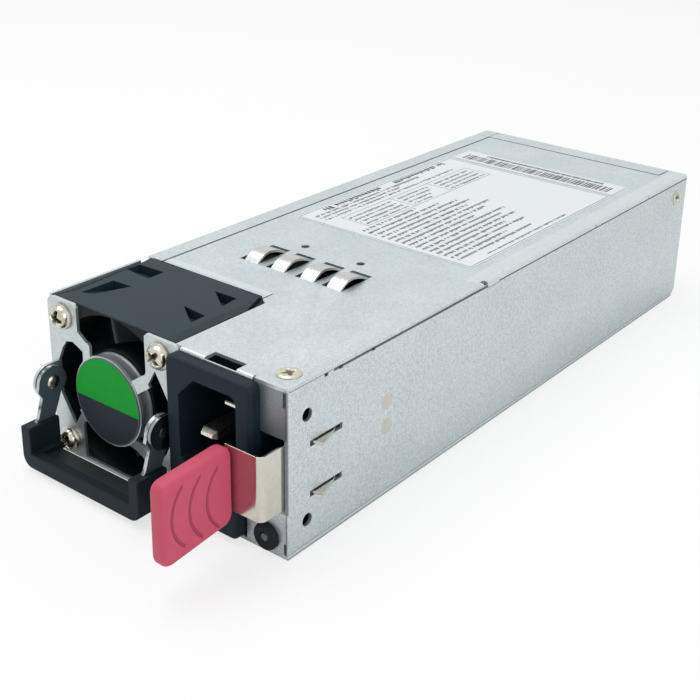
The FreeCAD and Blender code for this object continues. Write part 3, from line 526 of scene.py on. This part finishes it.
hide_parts("side_screw")


def paint(material, *nodes):
    """Puts a material on CAD nodes that keep their own shape."""
    for node in nodes:
        piece = frame["nodes"][node]
        if not piece.material_slots:
            piece.data.materials.append(material)
        for place in piece.material_slots:
            place.material = material


paint(nickel, "board_screws", "board_posts")
paint(rivet_steel, "latch_rivets")


# Fan.
# A 40 mm axial fan in a glass filled moulded frame, near black, with a slight moulding grain.
# Seven twisted blades stand on a plastic ring round the rotor's steel cup.

def resin(base, colour_low, colour_high, roughness):
    """Moulded plastic: nearly even colour, fine eroded grain and the grain's slight relief."""
    fine = grain(base, 0.5, 3.0, 0.6)
    clouds = grain(base, 6.0, 2.0)
    colour = blend(base, colour_low, colour_high, clouds * 0.6 + fine * 0.4)
    return colour, fine * 0.2 + roughness, relief(base, fine, 0.01)


def moulded(name, colour_low, colour_high, roughness, shine=0.35):
    """Material of a plastic piece that looks the same all over."""
    material, shader, base = coating(name, Specular_IOR_Level=shine)
    feed(shader, base, *resin(base, colour_low, colour_high, roughness))
    return material


pivots = {joint["name"]: np.round(np.array(joint["pos_m"]) / MM, 3) for joint in frame["joints"]}
axis_x, axis_z = pivots["fan_spin"][[0, 2]]
frame_plastic, shader, base = coating("frame_plastic", Specular_IOR_Level=0.2)
x, y, z = places(base)
colour, roughness, bumps = resin(base, tint(20, 39, 46), tint(33, 52, 60), 0.42)
lip = rise(x, 1.3, 1.8, base) * 0.45
colour = blend(base, colour, tint(8, 16, 21), lip)
# Painted shade: the bore's wall and the frame's front face behind the guard go almost black.
bore_wall = distance(x - axis_x, z - axis_z) < 19.85
frame_painted_shade = either(bore_wall, y < front + 1.2)
feed(shader, base, blend(base, colour, tint(4, 7, 10), frame_painted_shade * 0.95), roughness, bumps)


def turned(profile, x, z, steps=72):
    """A line of distances from an axis and depths, turned once round that axis."""
    turn = np.linspace(0, 2 * math.pi, steps, endpoint=False)
    reach, depth = np.array(profile).T[:, :, None]
    rows = [x + reach * np.sin(turn), depth + front + 0 * turn, z + reach * np.cos(turn)]
    return np.stack(rows, -1)


def round_core(*profile):
    """A closed solid of revolution about the fan's axis."""
    return turned(profile, axis_x, axis_z, 96), "capped"


def scoop(plan, face, outward):
    """Pocket whose floor slopes: its depth grows with the distance from its front corner."""
    shallow, deep = 0.2, 2.4
    plan = np.array(plan)
    share = (plan[:, 1] - plan[:, 1].min()) / np.ptp(plan[:, 1])
    floor = face - outward * (shallow + (deep - shallow) * share)
    rows = [np.column_stack([plan[:, 0] + axis_x, plan[:, 1] + front, z])
            for z in (floor, np.full(len(plan), face + outward))]
    return np.stack(rows), "capped"


# Plans of the pockets in the frame's top and bottom, X from the fan's axis and Y from the front.
plans = (((-16.0, 5.8), (-13.1, 6.5), (-11.2, 11.7), (-9.8, 15.5), (-15.7, 15.1)),
         ((-18.6, 22.0), (-10.4, 20.9), (-10.6, 26.4), (-18.6, 25.9)),
         ((7.4, 15.6), (15.1, 10.2), (15.0, 14.8)), ((6.9, 26.1), (14.3, 20.8), (13.5, 26.4)))
pockets = [scoop(plan, face, out) for plan in plans for face, out in ((top_face, 1), (0.0, -1))]
ledge = [(-35.7, 0), (-34.3, 2.3), (-33.2, 6.2), (-34.5, 25.7), (-35.4, 31.2), (-35.7, 31.2)]
notch = [(-2.9, 31.2), (-2.9, 30.5), (1.3, 30.5), (4.0, 23.7), (4.5, 23.0), (4.5, 31.2)]
pockets += [prism("z", ledge, 39.05, 41), prism("z", notch, 39.05, 41)]
spokes = []
for k in range(4):
    turn = math.radians(45 + 90 * k)
    out = np.array([math.sin(turn), math.cos(turn)])
    side = np.array([math.cos(turn), -math.sin(turn)])
    ends = [(9.6, -1.3), (9.6, 1.3), (19.5, 1.3), (19.5, -1.3)]
    spoke = [out * reach + side * half for reach, half in ends]
    spokes.append(prism("y", [(axis_x + p[0], axis_z + p[1]) for p in spoke], 27.0, 30.4))
# A straight bore, flared at both ends, and in it the motor's round base and its bearing tube.
bore = [round_core((19.0, 0.7), (19.0, 30.9)), round_core((19.75, 0.75), (19.0, 2.8)),
        round_core((19.0, 28.8), (19.7, 30.85))]
inner = [round_core((11.0, 28.4), (11.0, 30.4)), round_core((3.4, 8.8), (3.4, 28.6))] + spokes
block = slab(-35.6, 4.4, gauge, 30.8, 0, top_face)
blank = worked(lay("blank", [block]), ("DIFFERENCE", bore + pockets), ("UNION", inner))
fan_box = dressed("fan_housing", "fan_frame", "case", frame_plastic, blank, 0.2)
blade_count = 7
blade_rows = 14
blade_points = 40


def fan_blade(number):
    """One blade as a stack of closed wing sections wrapped round the fan's axis. A section is a
    flattened ellipse bowed to an arch. From root to tip it turns from 38 to 60 degrees off the
    axis, grows from 15 to 18 mm long, and thins."""
    root, height, middle = 11.1, 7.2, 11.3
    share = np.linspace(0, 1, blade_rows)[:, None]
    phase = np.linspace(0, 2 * math.pi, blade_points, endpoint=False)[None, :]
    radius = root + share * height
    lean = np.radians(38 + 22 * share ** 0.8)
    along = 0.5 * np.cos(phase) * (15.0 + 3.0 * share)
    bow = 1.5 * (1 - np.cos(phase) ** 2)
    across = (0.62 - 0.24 * share) * np.sin(phase) + bow
    round_axis = along * np.sin(lean) + across * np.cos(lean)
    depth = along * np.cos(lean) - across * np.sin(lean)
    angle = round_axis / radius + number * 2 * math.pi / blade_count
    across_x, up_z = axis_x + radius * np.sin(angle), axis_z + radius * np.cos(angle)
    return np.stack([across_x, front + middle + depth, up_z], -1)


blade_plastic, shader, base = coating("blade_plastic", Specular_IOR_Level=0.12)
clouds = grain(base, 6.0, 2.0)
# The edge attribute carries a painted highlight on the blades' leading edges.
edge = base.node("Attribute", {"attribute_name": "edge"}, take=2)
colour = blend(base, tint(5, 8, 11), tint(10, 14, 18), clouds)
feed(shader, base, blend(base, colour, tint(112, 122, 126), edge * 0.8), clouds * 0.1 + 0.35)
ring_line = [(11.5, 2.2), (11.5, 19.7), (10.75, 19.7), (10.75, 1.9), (11.2, 1.9)]
ring = turned(ring_line, axis_x, axis_z)
blades = [(fan_blade(k), "capped") for k in range(blade_count)]
impeller = skin("impeller_blades", [(ring, "joined")] + blades, blade_plastic, "fan_rotor", 50)
# The material paints a highlight on each blade's leading edge, where the phase is near half a turn.
phase = np.linspace(0, 2 * math.pi, blade_points, endpoint=False)
leading_highlight = np.clip(-10.0 * np.cos(phase) - 8.8, 0, 1)
edges = np.concatenate([np.zeros(ring[..., 0].size), np.tile(leading_highlight, blade_rows * blade_count)])
impeller.data.attributes.new("edge", "FLOAT", "POINT").data.foreach_set("value", edges)
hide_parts("fan_impeller")
hub_steel = plated("hub_steel", tint(176, 181, 184), tint(206, 210, 212), 0.34, 0.46, metallic=0.5)
cup = [(0.02, 1.3), (10.2, 1.3), (10.55, 1.4), (10.7, 1.7), (10.7, 20.2), (10.0, 20.2), (10.0, 2.1),
       (0.02, 2.1)]
yoke = skin("rotor_cup", [round_core(*cup)], hub_steel, "fan_rotor")
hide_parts("rotor_yoke")
paint(hub_steel, "fan_shaft", "fan_bearings", "fan_stator")


# Guard.
# Pressed from the same sheet as the case and held by the four fan screws. Four sloping struts
# carry its raised disc, and the disc a plain printed badge, green above and dark below.

guard_steel, shader, base, colour, roughness, (x, y, z), bumps = galvanised("guard_steel")
# The bent ears are plainer than the plate, and the right one is smoother and darkened by a painted
# reflection.
ear = span(y, front - 8.5, front - 0.7) * (abs(x + 15.25) > 18.0)
right_ear_polish_and_painted_reflection = ear * (x > 0.0)
colour = blend(base, blend(base, colour, tint(198, 206, 208), 0.5), tint(184, 192, 194), ear * 0.6)
colour = blend(base, colour, tint(120, 130, 134), right_ear_polish_and_painted_reflection * 0.7)
feed(shader, base, colour, roughness * (0.85 - right_ear_polish_and_painted_reflection * 0.45), bumps, right_ear_polish_and_painted_reflection * 0.2 + 0.8)
# The windows between the struts, from the fan's axis: side_gap lies at the left, end_gap above,
# and each is cut again half a turn round. A strut slopes from the plate up to the disc.
side_gap = [(-18.5, 4.2), (-16.8, 7.8), (-15.3, 9.8), (-13.1, 10.3), (-9.9, 8.9), (-5, 4), (-5, -4),
            (-11.5, -7.2), (-14.2, -11.7), (-18.5, -4.6)]
end_gap = [(-12.0, 21), (-12.0, 20.0), (-11.2, 19.2), (-11.2, 13.4), (-7.8, 11.0), (-4, 5), (5, 5),
           (10.3, 8.7), (11.2, 10.5), (11.2, 19.2), (12.0, 20.0), (12.0, 21)]
gaps = [prism("y", [(axis_x + turn * x, max(axis_z + turn * z, 0.9)) for x, z in gap], -1, 2)
        for gap in (side_gap, end_gap) for turn in (1, -1)]
gaps += [slab(-34.1, 3.4, -1, 2, 15.8, 24.2), rod("y", 13.4, axis_x, axis_z, -1, 2)]
plate = [*arc(4.3, 2.0, 2, -90, 0), *arc(4.3, 38.0, 2, 0, 90), *arc(-34.75, 38.0, 2, 90, 180),
         *arc(-34.75, 2.0, 2, 180, 270)]
strut_line = [(10.1, -1.6), (13.0, 0), (14.0, 0), (14.0, gauge), (13.0, gauge), (10.1, -0.8)]
reach, depth = np.array(strut_line).T
half = np.array([[-1.6], [1.6]])
struts = []
for angle in (131, 36, 311, 216):
    turn = math.radians(angle)
    across = axis_x + reach * math.cos(turn) - half * math.sin(turn)
    up = axis_z + reach * math.sin(turn) + half * math.cos(turn)
    struts.append((np.stack([across, depth + front + 0 * across, up], -1), "capped"))
pivot_depth = round(pivots["handle_swing"][1] - front, 3)
pivot_z = pivots["handle_swing"][2]
ears = []
for x in (-34.9, 3.4):
    ears += [rod("x", 4.0, pivot_depth, pivot_z, x, x + gauge),
             slab(x, x + gauge, pivot_depth, 0.7, 16.0, 24.0)]
disc = rod("y", 10.9, axis_x, axis_z, -1.6, -0.8, 96)
blank = worked(lay("blank", [prism("y", plate, 0, gauge)]), ("DIFFERENCE", gaps),
               ("UNION", [disc] + struts + ears))
guard = dressed("guard_plate", "fan_guard", "case", guard_steel, blank, 0.15)
badge_print, shader, base = coating("badge_print", Specular_IOR_Level=0.1)
spots = grain(base, 1.0)
x, y, z = places(base)
green = blend(base, tint(6, 150, 44), tint(14, 163, 52), spots)
dark = blend(base, tint(38, 45, 53), tint(45, 52, 61), spots)
face = blend(base, dark, green, z > 19.2)
bare_rim = distance(x - axis_x, z - axis_z) > 10.22
face = blend(base, face, tint(92, 100, 104), bare_rim * 0.8)
feed(shader, base, face, spots * 0.1 + 0.38)
badge_plate = rod("y", 10.5, axis_x, axis_z, -1.9, -1.6, 96)
badge = skin("badge_disc", [badge_plate], badge_print, "case")
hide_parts("guard_badge")


# Bail.
# A flat steel strap bent to a U and painted dark slate, bright where its edges rub bare, with
# a moulded grip round its foot. Two domed rivets hang it in the guard's ears.

strap_paint, shader, base = coating("strap_paint", Metallic=0.0)
fine = grain(base, 0.35, 3.0)
scuffs = grain(base, 2.2, 4.0, 0.7)
facing = base.node("SeparateXYZ", {}, {0: base.node("TexCoord", take="Normal")}, 0)
x, y, z = places(base)
worn = rise(abs(facing), 0.75, 0.45, base) * rise(scuffs, 0.38, 0.56, base) * (z > 6.0)
painted = blend(base, tint(50, 66, 72), tint(68, 85, 91), fine)
painted = blend(base, painted, tint(12, 15, 18), (z < 4.0) * 0.9)
feed(shader, base, blend(base, painted, tint(190, 196, 197), worn), 0.5 - worn * 0.18,
     relief(base, fine, 0.008), worn * 0.9)
# An arm from the side: cranked below its round end, and wide at its foot.
strap = 1.0
arm = [(-7.1, 20.0), (-7.5, 18.6), (-6.4, 16.8), (-7.8, 12.4), (-9.8, 9.4), (-9.8, 2.3), (-3.6, 2.3),
       (-3.6, 10.6), (-2.0, 14.4), (-0.2, 19.0), (-3.2, 20.0)]
arms = []
for x in (-33.8, 3.1 - strap):
    arms += [prism("x", arm, x, x + strap), rod("x", 3.9, pivot_depth, pivot_z, x, x + strap)]
blank = worked(lay("blank", [slab(-33.8, 3.1, -9.8, -3.6, 2.3, 2.3 + strap)]), ("UNION", arms))
bail = dressed("bail_strap", "handle_bail", "handle", strap_paint, blank, 0.14)
grip_plastic = moulded("grip_plastic", tint(15, 24, 31), tint(25, 35, 43), 0.42, shine=0.18)
cradle = [(-35.0, 11.3), *arc(-32.0, 3.9, 3, 180, 270), *arc(1.3, 3.9, 3, 270, 360), (4.3, 11.3),
          (1.2, 11.3), (1.2, 4.6), (-31.9, 4.6), (-31.9, 11.3)]
blank = worked(lay("blank", [prism("y", cradle, -11.6, -2.8)]),
               ("DIFFERENCE", [slab(-31.2, 0.5, -8.9, -2.0, 2.3, 5.0)]))
grip = dressed("bail_grip", "handle_grip", "handle", grip_plastic, blank, 0.6, 3)


def rivet(side, head):
    """A round pin through ear and arm with a low dome, as radii turned about the X axis."""
    turn = np.linspace(0, 2 * math.pi, 40, endpoint=False)
    steps = [(0.02, 0), (1.2, 0), (1.2, 2.2), (1.7, 2.2), (1.65, 2.45), (1.35, 2.7), (0.8, 2.85),
             (0.02, 2.9)]
    radius, along = np.array(steps).T[:, :, None]
    return np.stack([head + side * along + 0 * turn, front + pivot_depth + radius * np.cos(turn),
                     pivot_z + radius * np.sin(turn)], -1), "capped"


pins = skin("bail_rivets", [rivet(1, -34.95), rivet(-1, 4.25)], nickel, "case")
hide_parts("handle_rivets")


# Mains inlet.
# A three-pole appliance inlet moulded in black, with nickel plated blades. Its rounded bezel
# covers the joint of the front flange, and is stepped in at its foot for the status light.

inlet_plastic = moulded("inlet_plastic", tint(14, 28, 38), tint(26, 40, 50), 0.44, shine=0.18)


def bezel_row(depth, inset):
    """The inlet's outline at one depth: a rectangle with rounded corners whose lower right corner
    is stepped in for the light. The inset moves every side inwards."""
    x0, x1, step = 4.9 + inset, 29.5 - inset, 24.9 - inset
    z0, z1, rise_z = 0.9 + inset, 39.15 - inset, 10.0 + inset
    r = 1.6 - 0.8 * inset
    line = [*arc(x0 + r, z0 + r, r, 180, 270), *arc(step - r, z0 + r, r, 270, 360),
            *arc(step + 0.5, rise_z - 0.5, 0.5, 180, 90, 5), *arc(x1 - r, rise_z + r, r, 270, 360),
            *arc(x1 - r, z1 - r, r, 0, 90), *arc(x0 + r, z1 - r, r, 90, 180)]
    return np.insert(np.array(line), 1, depth + front, axis=1)


# The bezel stands 3 mm out and ends in a rounded rim. The socket's left corners are cut off, and
# a pocket lies under the slot in the cover.
fillet = np.radians(np.linspace(0, 90, 6))
rows = [bezel_row(0.0, 0.0)] + [bezel_row(-2.0 - math.sin(a), 1.0 - math.cos(a)) for a in fillet]
socket = [(8.8, 15.9), (13.4, 11.3), *arc(23.6, 13.1, 1.8, 270, 360), *arc(23.6, 33.7, 1.8, 0, 90),
          (13.4, 35.5), (8.8, 30.9)]
housing = [slab(6.4, 28.3, -0.2, 24.0, 11.0, 38.95), slab(6.4, 23.9, -0.2, 24.0, 2.5, 11.5)]
blank = worked(lay("blank", [(np.array(rows), "capped")]), ("UNION", housing),
               ("DIFFERENCE", [prism("y", socket, -4, 14), slab(13.5, 23.2, 0.4, 3.7, 36.0, 40)]))
inlet = dressed("mains_inlet", "inlet_housing", "case", inlet_plastic, blank, 0.2)


def contact(x, z, start):
    """Flat contact, 4 by 2 mm. Four corners are scaled down towards the tip, more in height."""
    across, up = np.array([-1, 1, 1, -1]), np.array([-1, -1, 1, 1])
    depth = np.array([[start], [start + 1.3], [29.0]])
    wide, tall = np.array([[1.6], [2.0], [2.0]]), np.array([[0.3], [1.0], [1.0]])
    return np.stack([x + wide * across, depth + front + 0 * across, z + tall * up], -1), "capped"


bright, shader, base = coating("contact_plate", Metallic=0.6)
clouds = grain(base, 1.4, 3.0)
x, y, z = places(base)
# Painted shade: behind their bright tips the blades are darkened almost to black, deep in the socket.
earth_side = x < 18.0
shade = rise(y, -93.6, -93.0, base) * earth_side + rise(y, -91.1, -90.8, base) * (1.0 - earth_side)
colour = blend(base, tint(232, 228, 214), tint(250, 248, 240), clouds)
feed(shader, base, blend(base, colour, tint(20, 21, 24), shade * 0.95), clouds * 0.1 + 0.22)
contacts = skin("line_blades", [contact(19.9, 30.4, 1.3), contact(19.9, 16.4, 1.3)], bright, "case")
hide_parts("pins_line_neutral")
earth = skin("earth_blade", [contact(15.9, 23.2, -2.0)], bright, "case")
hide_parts("pin_earth")


# Latch.
# A polished spring steel strip riveted inside the right wall, with a red push tab on its end.
# Two teeth stand out through slots in the wall, and catch in the bay.

strip_steel, shader, base = coating("strip_steel", Metallic=1.0)
clouds = grain(base, 1.4, 3.0)
x, y, z = places(base)
# Painted shade darkens the strip where it lies inside the case.
inside_painted_shade = (y > front + 1.5) * (x < 36.0)
colour = blend(base, tint(192, 190, 179), tint(212, 209, 200), clouds)
feed(shader, base, blend(base, colour, tint(30, 31, 31), inside_painted_shade * 0.9), clouds * 0.08 + 0.12)
# The strip and a tooth from above. The strip bends round to the left in front of the case, and
# its end turns forwards again into the tab.
bend_at = (34.25, -5.3)
bend = [(35.85, 29.9), *arc(*bend_at, 1.6, 0, -90, 10), (26.0, -6.9), (26.0, -6.3),
        *arc(*bend_at, 1.0, -90, 0, 10), (35.25, 29.9)]
tooth = [(35.25, 7.7), (35.85, 7.7), (36.75, 8.1), (38.95, 8.7), (38.95, 9.3), (36.75, 15.2),
         (35.85, 16.4), (35.25, 16.4)]
joins = [prism("z", tooth, z - 0.35, z + 0.35) for z in (12.75, 24.8)]
joins.append(slab(26.0, 26.6, -15.2, -6.5, 14.0, 26.0))
blank = worked(lay("blank", [prism("z", bend, 12.0, 27.2)]), ("UNION", joins))
strip = dressed("latch_strip", "latch_spring", "latch", strip_steel, blank, 0.1)
paint(strip_steel, "latch_root", "latch_shim")


def softened(corners, radius):
    """Outline whose corners are replaced by curves, each blended from its two sides."""
    corners = np.array(corners, dtype=float)
    line = []
    for before, here, after in zip(np.roll(corners, 1, 0), corners, np.roll(corners, -1, 0)):
        start = here + (before - here) / np.linalg.norm(before - here) * radius
        end = here + (after - here) / np.linalg.norm(after - here) * radius
        share = np.linspace(0, 1, 8)[:, None]
        line.append((1 - share) ** 2 * start + 2 * share * (1 - share) * here + share ** 2 * end)
    return np.concatenate(line)


def pillow(outline, low, high, round_edge):
    """A plate with full round edges: rows of the outline from one face to the other, each drawn
    in towards the middle by the gap between a quarter circle and its chord."""
    middle = outline.mean(0)
    half_width = 9.0
    turn = np.radians(np.linspace(-90, 90, 15))
    rows = []
    for a in turn:
        inset = round_edge * (1 - math.cos(a))
        x = (low + round_edge if a < 0 else high - round_edge) + round_edge * math.sin(a)
        ring = middle + (outline - middle) * (1 - inset / half_width)
        rows.append(np.column_stack([np.full(len(ring), x), ring[:, 0] + front, ring[:, 1]]))
    return np.array(rows), "capped"


tab_red, shader, base = coating("tab_red", Specular_IOR_Level=0.4)
fine = grain(base, 0.3, 3.0, 0.6)
clouds = grain(base, 7.0, 2.0)
x, y, z = places(base)
# Three curved grooves, each part of a circle with a radius of 9 mm, pressed in by a bump and darkened
# by painted shade.
lines = 0.0
for k in range(3):
    middle_y = -98.1 - 4.75 * k
    reach = distance(y - middle_y, z - (17.8 + 0.2 * k))
    near = rise(abs(reach - 9.0), 0.42, 0.12, base) * (y < middle_y - 5.8)
    lines = near + lines
lines = lines * (x > 28.0)
colour = blend(base, tint(186, 66, 91), tint(200, 80, 105), clouds * 0.6 + fine * 0.4)
feed(shader, base, blend(base, colour, tint(150, 40, 66), lines * 0.7), fine * 0.2 + 0.42,
     relief(base, 1.0 - lines, 0.3, relief(base, fine, 0.01)))
outline = softened([(-7.0, 9.7), (-26.3, 7.9), (-26.1, 26.6), (-7.0, 27.6)], 2.4)
tab = skin("push_tab", [pillow(outline, 24.1, 28.5, 1.4)], tab_red, "latch", 60)
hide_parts("latch_tab")


# Status light.
# A clear light pipe in a rubber grommet, which is pushed into a round hole of the front flange
# under the inlet's step.

rubber = moulded("grommet_rubber", tint(14, 20, 26), tint(23, 29, 36), 0.5, shine=0.2)
light_x, light_z = 31.15, 4.0
collar = [(1.0, 1.9), (3.1, 1.9), (3.1, 0.8), (2.6, 0.8), (2.6, 0.0), (3.15, 0.0), (3.15, -0.8),
          (3.0, -1.15), (2.7, -1.38), (2.3, -1.45), (1.7, -1.3), (1.15, -1.15), (1.0, -1.0)]
collar_rows = turned(collar, light_x, light_z, 48)
rubber_collar = skin("rubber_collar", [(collar_rows, "joined")], rubber, "case", 50)
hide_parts("led_grommet")
pipe = moulded("light_pipe", tint(62, 68, 76), tint(84, 90, 98), 0.1, shine=0.7)
tip = [(0.98, 7.2), (0.98, -1.1), (0.85, -1.25), (0.5, -1.36), (0.02, -1.4)]
pipe_end = skin("pipe_end", [(turned(tip, light_x, light_z, 32), "capped")], pipe, "case", 60)
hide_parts("led_lens")


# Labels.
# White film stuck to the cover, with a thin printed border. Its print is generic: rows of small
# blocks in place of words, the rules of a table, and bars.

film, shader, base = coating("label_film", Specular_IOR_Level=0.35)
fine = grain(base, 0.6, 3.0)
x, y, z = places(base)
low, high = np.round(box_of("rating_label"), 3)
outer, inner = [span(x, low[0] + inset, high[0] - inset) * span(y, low[1] + inset, high[1] - inset)
                for inset in (0.4, 0.65)]
ink = outer - inner
paper = blend(base, tint(212, 217, 220), tint(223, 227, 230), fine)
feed(shader, base, blend(base, paper, tint(96, 102, 110), ink), fine * 0.1 + 0.42)
paint(film, "rating_label", "barcode_label")


def small_print(seed, lines):
    """Rows of greeked letters. A row has its low side in X, its two ends in Y and its height.
    Each letter is a block whose width and height vary, with a wider gap after some of them."""
    rng = np.random.default_rng(seed)
    rows = []
    for x, y0, y1, size in lines:
        count = int((y1 - y0) / size * 2.2)
        width = rng.uniform(0.3, 0.62, count) * size
        gap = np.where(rng.random(count) < 0.17, 0.75, 0.2) * size
        end = y0 + np.cumsum(width + gap)
        tall = np.where(rng.random(count) < 0.35, 1.0, 0.72) * size
        boxes = np.stack([x + 0 * tall, x + tall, end - width - gap, end - gap], -1)
        rows.append(boxes[end < y1])
    return np.concatenate(rows)


def printed(name, boxes, level, material):
    """Flat rectangles of ink at one level, from their low and high sides in X and Y."""
    x0, x1, y0, y1 = boxes.T
    corners = np.stack([np.stack([x0, y0], -1), np.stack([x1, y0], -1),
                        np.stack([x1, y1], -1), np.stack([x0, y1], -1)], 1).reshape(-1, 2)
    points = np.concatenate([corners, np.full((len(corners), 1), level)], 1)
    points[:, 1] += front
    mesh = bpy.data.meshes.new(name)
    mesh.from_pydata((points * MM).tolist(), [], np.arange(len(points)).reshape(-1, 4).tolist())
    mesh.materials.append(material)
    piece = placed(name, mesh)
    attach(piece, "case")
    return piece


def ink_of(name, colour_low, colour_high):
    """Printing ink with faint mottling."""
    material, shader, base = coating(name, Specular_IOR_Level=0.3)
    spots = grain(base, 0.3)
    feed(shader, base, blend(base, colour_low, colour_high, spots), spots * 0.1 + 0.45)
    return material


black_ink = ink_of("black_ink", tint(36, 38, 44), tint(58, 62, 70))
grey_ink = ink_of("grey_ink", tint(66, 72, 82), tint(94, 100, 110))
bold = small_print(3, [(-26.8, 86.0, 114.0, 2.1), (-26.8, 118.0, 144.0, 1.9)])
fine_lines = [(-24.2, 80.0, 128.0, 1.1), (-22.4, 80.0, 116.0, 1.0), (-20.6, 80.0, 141.0, 0.95)]
fine_lines += [(-7.9, 80.0, 104.0, 1.1), (26.3, 88.0, 128.0, 0.8)]
for start, end, shorter in ((85.0, 104.0, 0.0), (107.0, 122.0, 2.0), (125.0, 143.0, 0.0)):
    fine_lines += [(-16.6 + 2.0 * k, start, end - shorter * k, 0.95) for k in range(4)]
body_lines = [(-5.6 + 2.2 * k, 79.5, end, 1.05) for k, end in
              enumerate((112, 118, 121, 116, 124, 119, 110, 122, 117, 120, 112, 118, 106, 115))]
rules = [(x, x + 0.16, 84.0, 144.0) for x in (-18.2, -9.0)]
rules += [(-18.2, -9.0, y, y + 0.16) for y in (84.0, 105.4, 123.6, 143.84)]
print_level = high[2] + 0.012
printed("heading_print", bold, print_level, black_ink)
printed("fine_print", small_print(5, fine_lines), print_level, grey_ink)
printed("body_print", small_print(8, body_lines), print_level, black_ink)
printed("table_rules", np.array(rules), print_level + 0.002, grey_ink)

# Bars of three widths with uneven gaps, and a row of small blocks behind them.
rng = np.random.default_rng(12)
bar_count, mark_count = 84, 60
step = rng.choice([0.22, 0.34, 0.5], bar_count)
place = -25.6 + np.cumsum(step + rng.choice([0.2, 0.3, 0.42], bar_count))
ends = np.full(bar_count, 152.4), np.full(bar_count, 157.0)
bars = np.stack([place, place + step, *ends], -1)[place < 26.0]
tally = rng.uniform(0.35, 0.6, mark_count)
place = -20.0 + np.cumsum(tally + 0.25)
ends = np.full(mark_count, 158.0), np.full(mark_count, 159.4)
marks = np.stack([place, place + tally, *ends], -1)[place < 22.0]
printed("bar_print", np.concatenate([bars, marks]), print_level, black_ink)


# Inside.
# Board, capacitors, chokes, transformer and heatsink, seen only through slots. They keep the
# shape of their solids, and each gets the finish of the real piece.

board_mask = moulded("solder_mask", tint(20, 70, 44), tint(28, 84, 54), 0.35)
copper = plated("enamelled_copper", tint(150, 78, 40), tint(184, 104, 58), 0.3, 0.45)
ferrite = moulded("ferrite", tint(50, 50, 54), tint(66, 66, 70), 0.6)
aluminium = plated("aluminium_can", tint(176, 178, 182), tint(204, 206, 210), 0.3, 0.42)
sleeve = moulded("black_sleeve", tint(22, 22, 24), tint(34, 34, 37), 0.4)
tape = moulded("yellow_tape", tint(196, 160, 52), tint(216, 182, 72), 0.4)
gilt = plated("gilt", tint(196, 160, 84), tint(226, 190, 110), 0.22, 0.34)
paint(board_mask, "main_board", "control_board")
paint(copper, "fan_coils", "line_choke_winding", "pfc_choke_winding", "output_busbars")
paint(ferrite, "rotor_magnet", "line_choke_core", "pfc_choke_core", "transformer_core")
paint(aluminium, "bulk_capacitor", "output_capacitors", "heatsink")
paint(sleeve, "bulk_cap_sleeve", "insulator_sheet", "power_transistors", "control_chips",
      "inlet_leads", "fan_lead")
paint(tape, "transformer_winding", "film_capacitor")
paint(gilt, "edge_contacts")


# Studio.
# A pale floor, a white surround, soft lamps and the camera that the photograph was solved for.

floor_paint, shader, base = coating("floor_paint", Roughness=0.9)
light_path = base.node("LightPath", take="Is Camera Ray")
clouds = grain(base, 60.0)
feed(shader, base, blend(base, tint(242, 242, 242), tint(246, 246, 246), clouds))
# For the camera alone, white light is mixed into the floor, which keeps its shadow.
glow = base.node("Emission", {}, {"Color": (1, 1, 1, 1), "Strength": 1.0})
mixed = base.node("MixShader", {}, {0: light_path * 0.72})
tree = floor_paint.node_tree
tree.links.new(tree.nodes["Principled BSDF"].outputs[0], mixed.out.node.inputs[1])
tree.links.new(glow.out, mixed.out.node.inputs[2])
tree.links.new(mixed.out, tree.nodes["Material Output"].inputs[0])
floor_level = -0.0003
corners = [(-3.0, -3.0), (3.0, -3.0), (3.0, 3.0), (-3.0, 3.0)]
mesh = bpy.data.meshes.new("floor")
mesh.from_pydata([(x, y, floor_level) for x, y in corners], [], [(0, 1, 2, 3)])
mesh.materials.append(floor_paint)
floor = placed("floor", mesh)

world = bpy.data.worlds.new("surround")
bpy.context.scene.world = world
world.use_nodes = True
tree = world.node_tree
sky = Wire(tree)
rays = [sky.node("LightPath", take=name) for name in
        ("Is Camera Ray", "Is Glossy Ray", "Is Transmission Ray")]
seen = sky.maths("MINIMUM", rays[0] + rays[1] + rays[2], 1.0)
back = tree.nodes["Background"]
back.inputs["Color"].default_value = (1, 1, 1, 1)
tree.links.new((seen * 0.45 + 0.55).out, back.inputs["Strength"])


def lamp(name, place, aim, width, power):
    """A square lamp at a place, turned to face a point."""
    light = bpy.data.lights.new(name, "AREA")
    light.shape = "SQUARE"
    light.size = width
    light.energy = power
    piece = placed(name, light)
    piece.location = place
    direction = np.array(aim) - np.array(place)
    yaw = math.atan2(direction[1], direction[0])
    pitch = math.atan2(direction[2], math.hypot(direction[0], direction[1]))
    piece.rotation_euler = (pitch + math.pi / 2, 0.0, yaw - math.pi / 2)


lamp("overhead", (-0.25, -0.1, 0.9), (0, 0, 0), 0.7, 5.0)
lamp("side_fill", (0.8, -0.3, 0.35), (0, 0, 0.02), 0.5, 2.0)

turn, tilt, roll = (math.radians(a) for a in (36.478, 21.926, 1.659))
backwards = np.array([math.sin(turn) * math.cos(tilt), -math.cos(turn) * math.cos(tilt),
                      math.sin(tilt)])
sideways = np.cross(-backwards, [0, 0, 1])
sideways /= np.linalg.norm(sideways)
upwards = np.cross(sideways, -backwards)
camera_x = sideways * math.cos(roll) + upwards * math.sin(roll)
camera_y = upwards * math.cos(roll) - sideways * math.sin(roll)
lens_data = bpy.data.cameras.new("camera")
lens_data.sensor_width = 36.0
lens_data.lens = 63.8204
lens_data.shift_x = -0.0607
lens_data.shift_y = -0.1241
lens_data.clip_start = 0.01
camera = placed("camera", lens_data)
matrix = np.eye(4)
matrix[:3, 0] = camera_x
matrix[:3, 1] = camera_y
matrix[:3, 2] = backwards
matrix[:3, 3] = (0.181781, -0.254994, 0.154951)
camera.matrix_world = matrix.T.tolist()
bpy.context.scene.camera = camera
bpy.context.scene.view_settings.view_transform = "Standard"
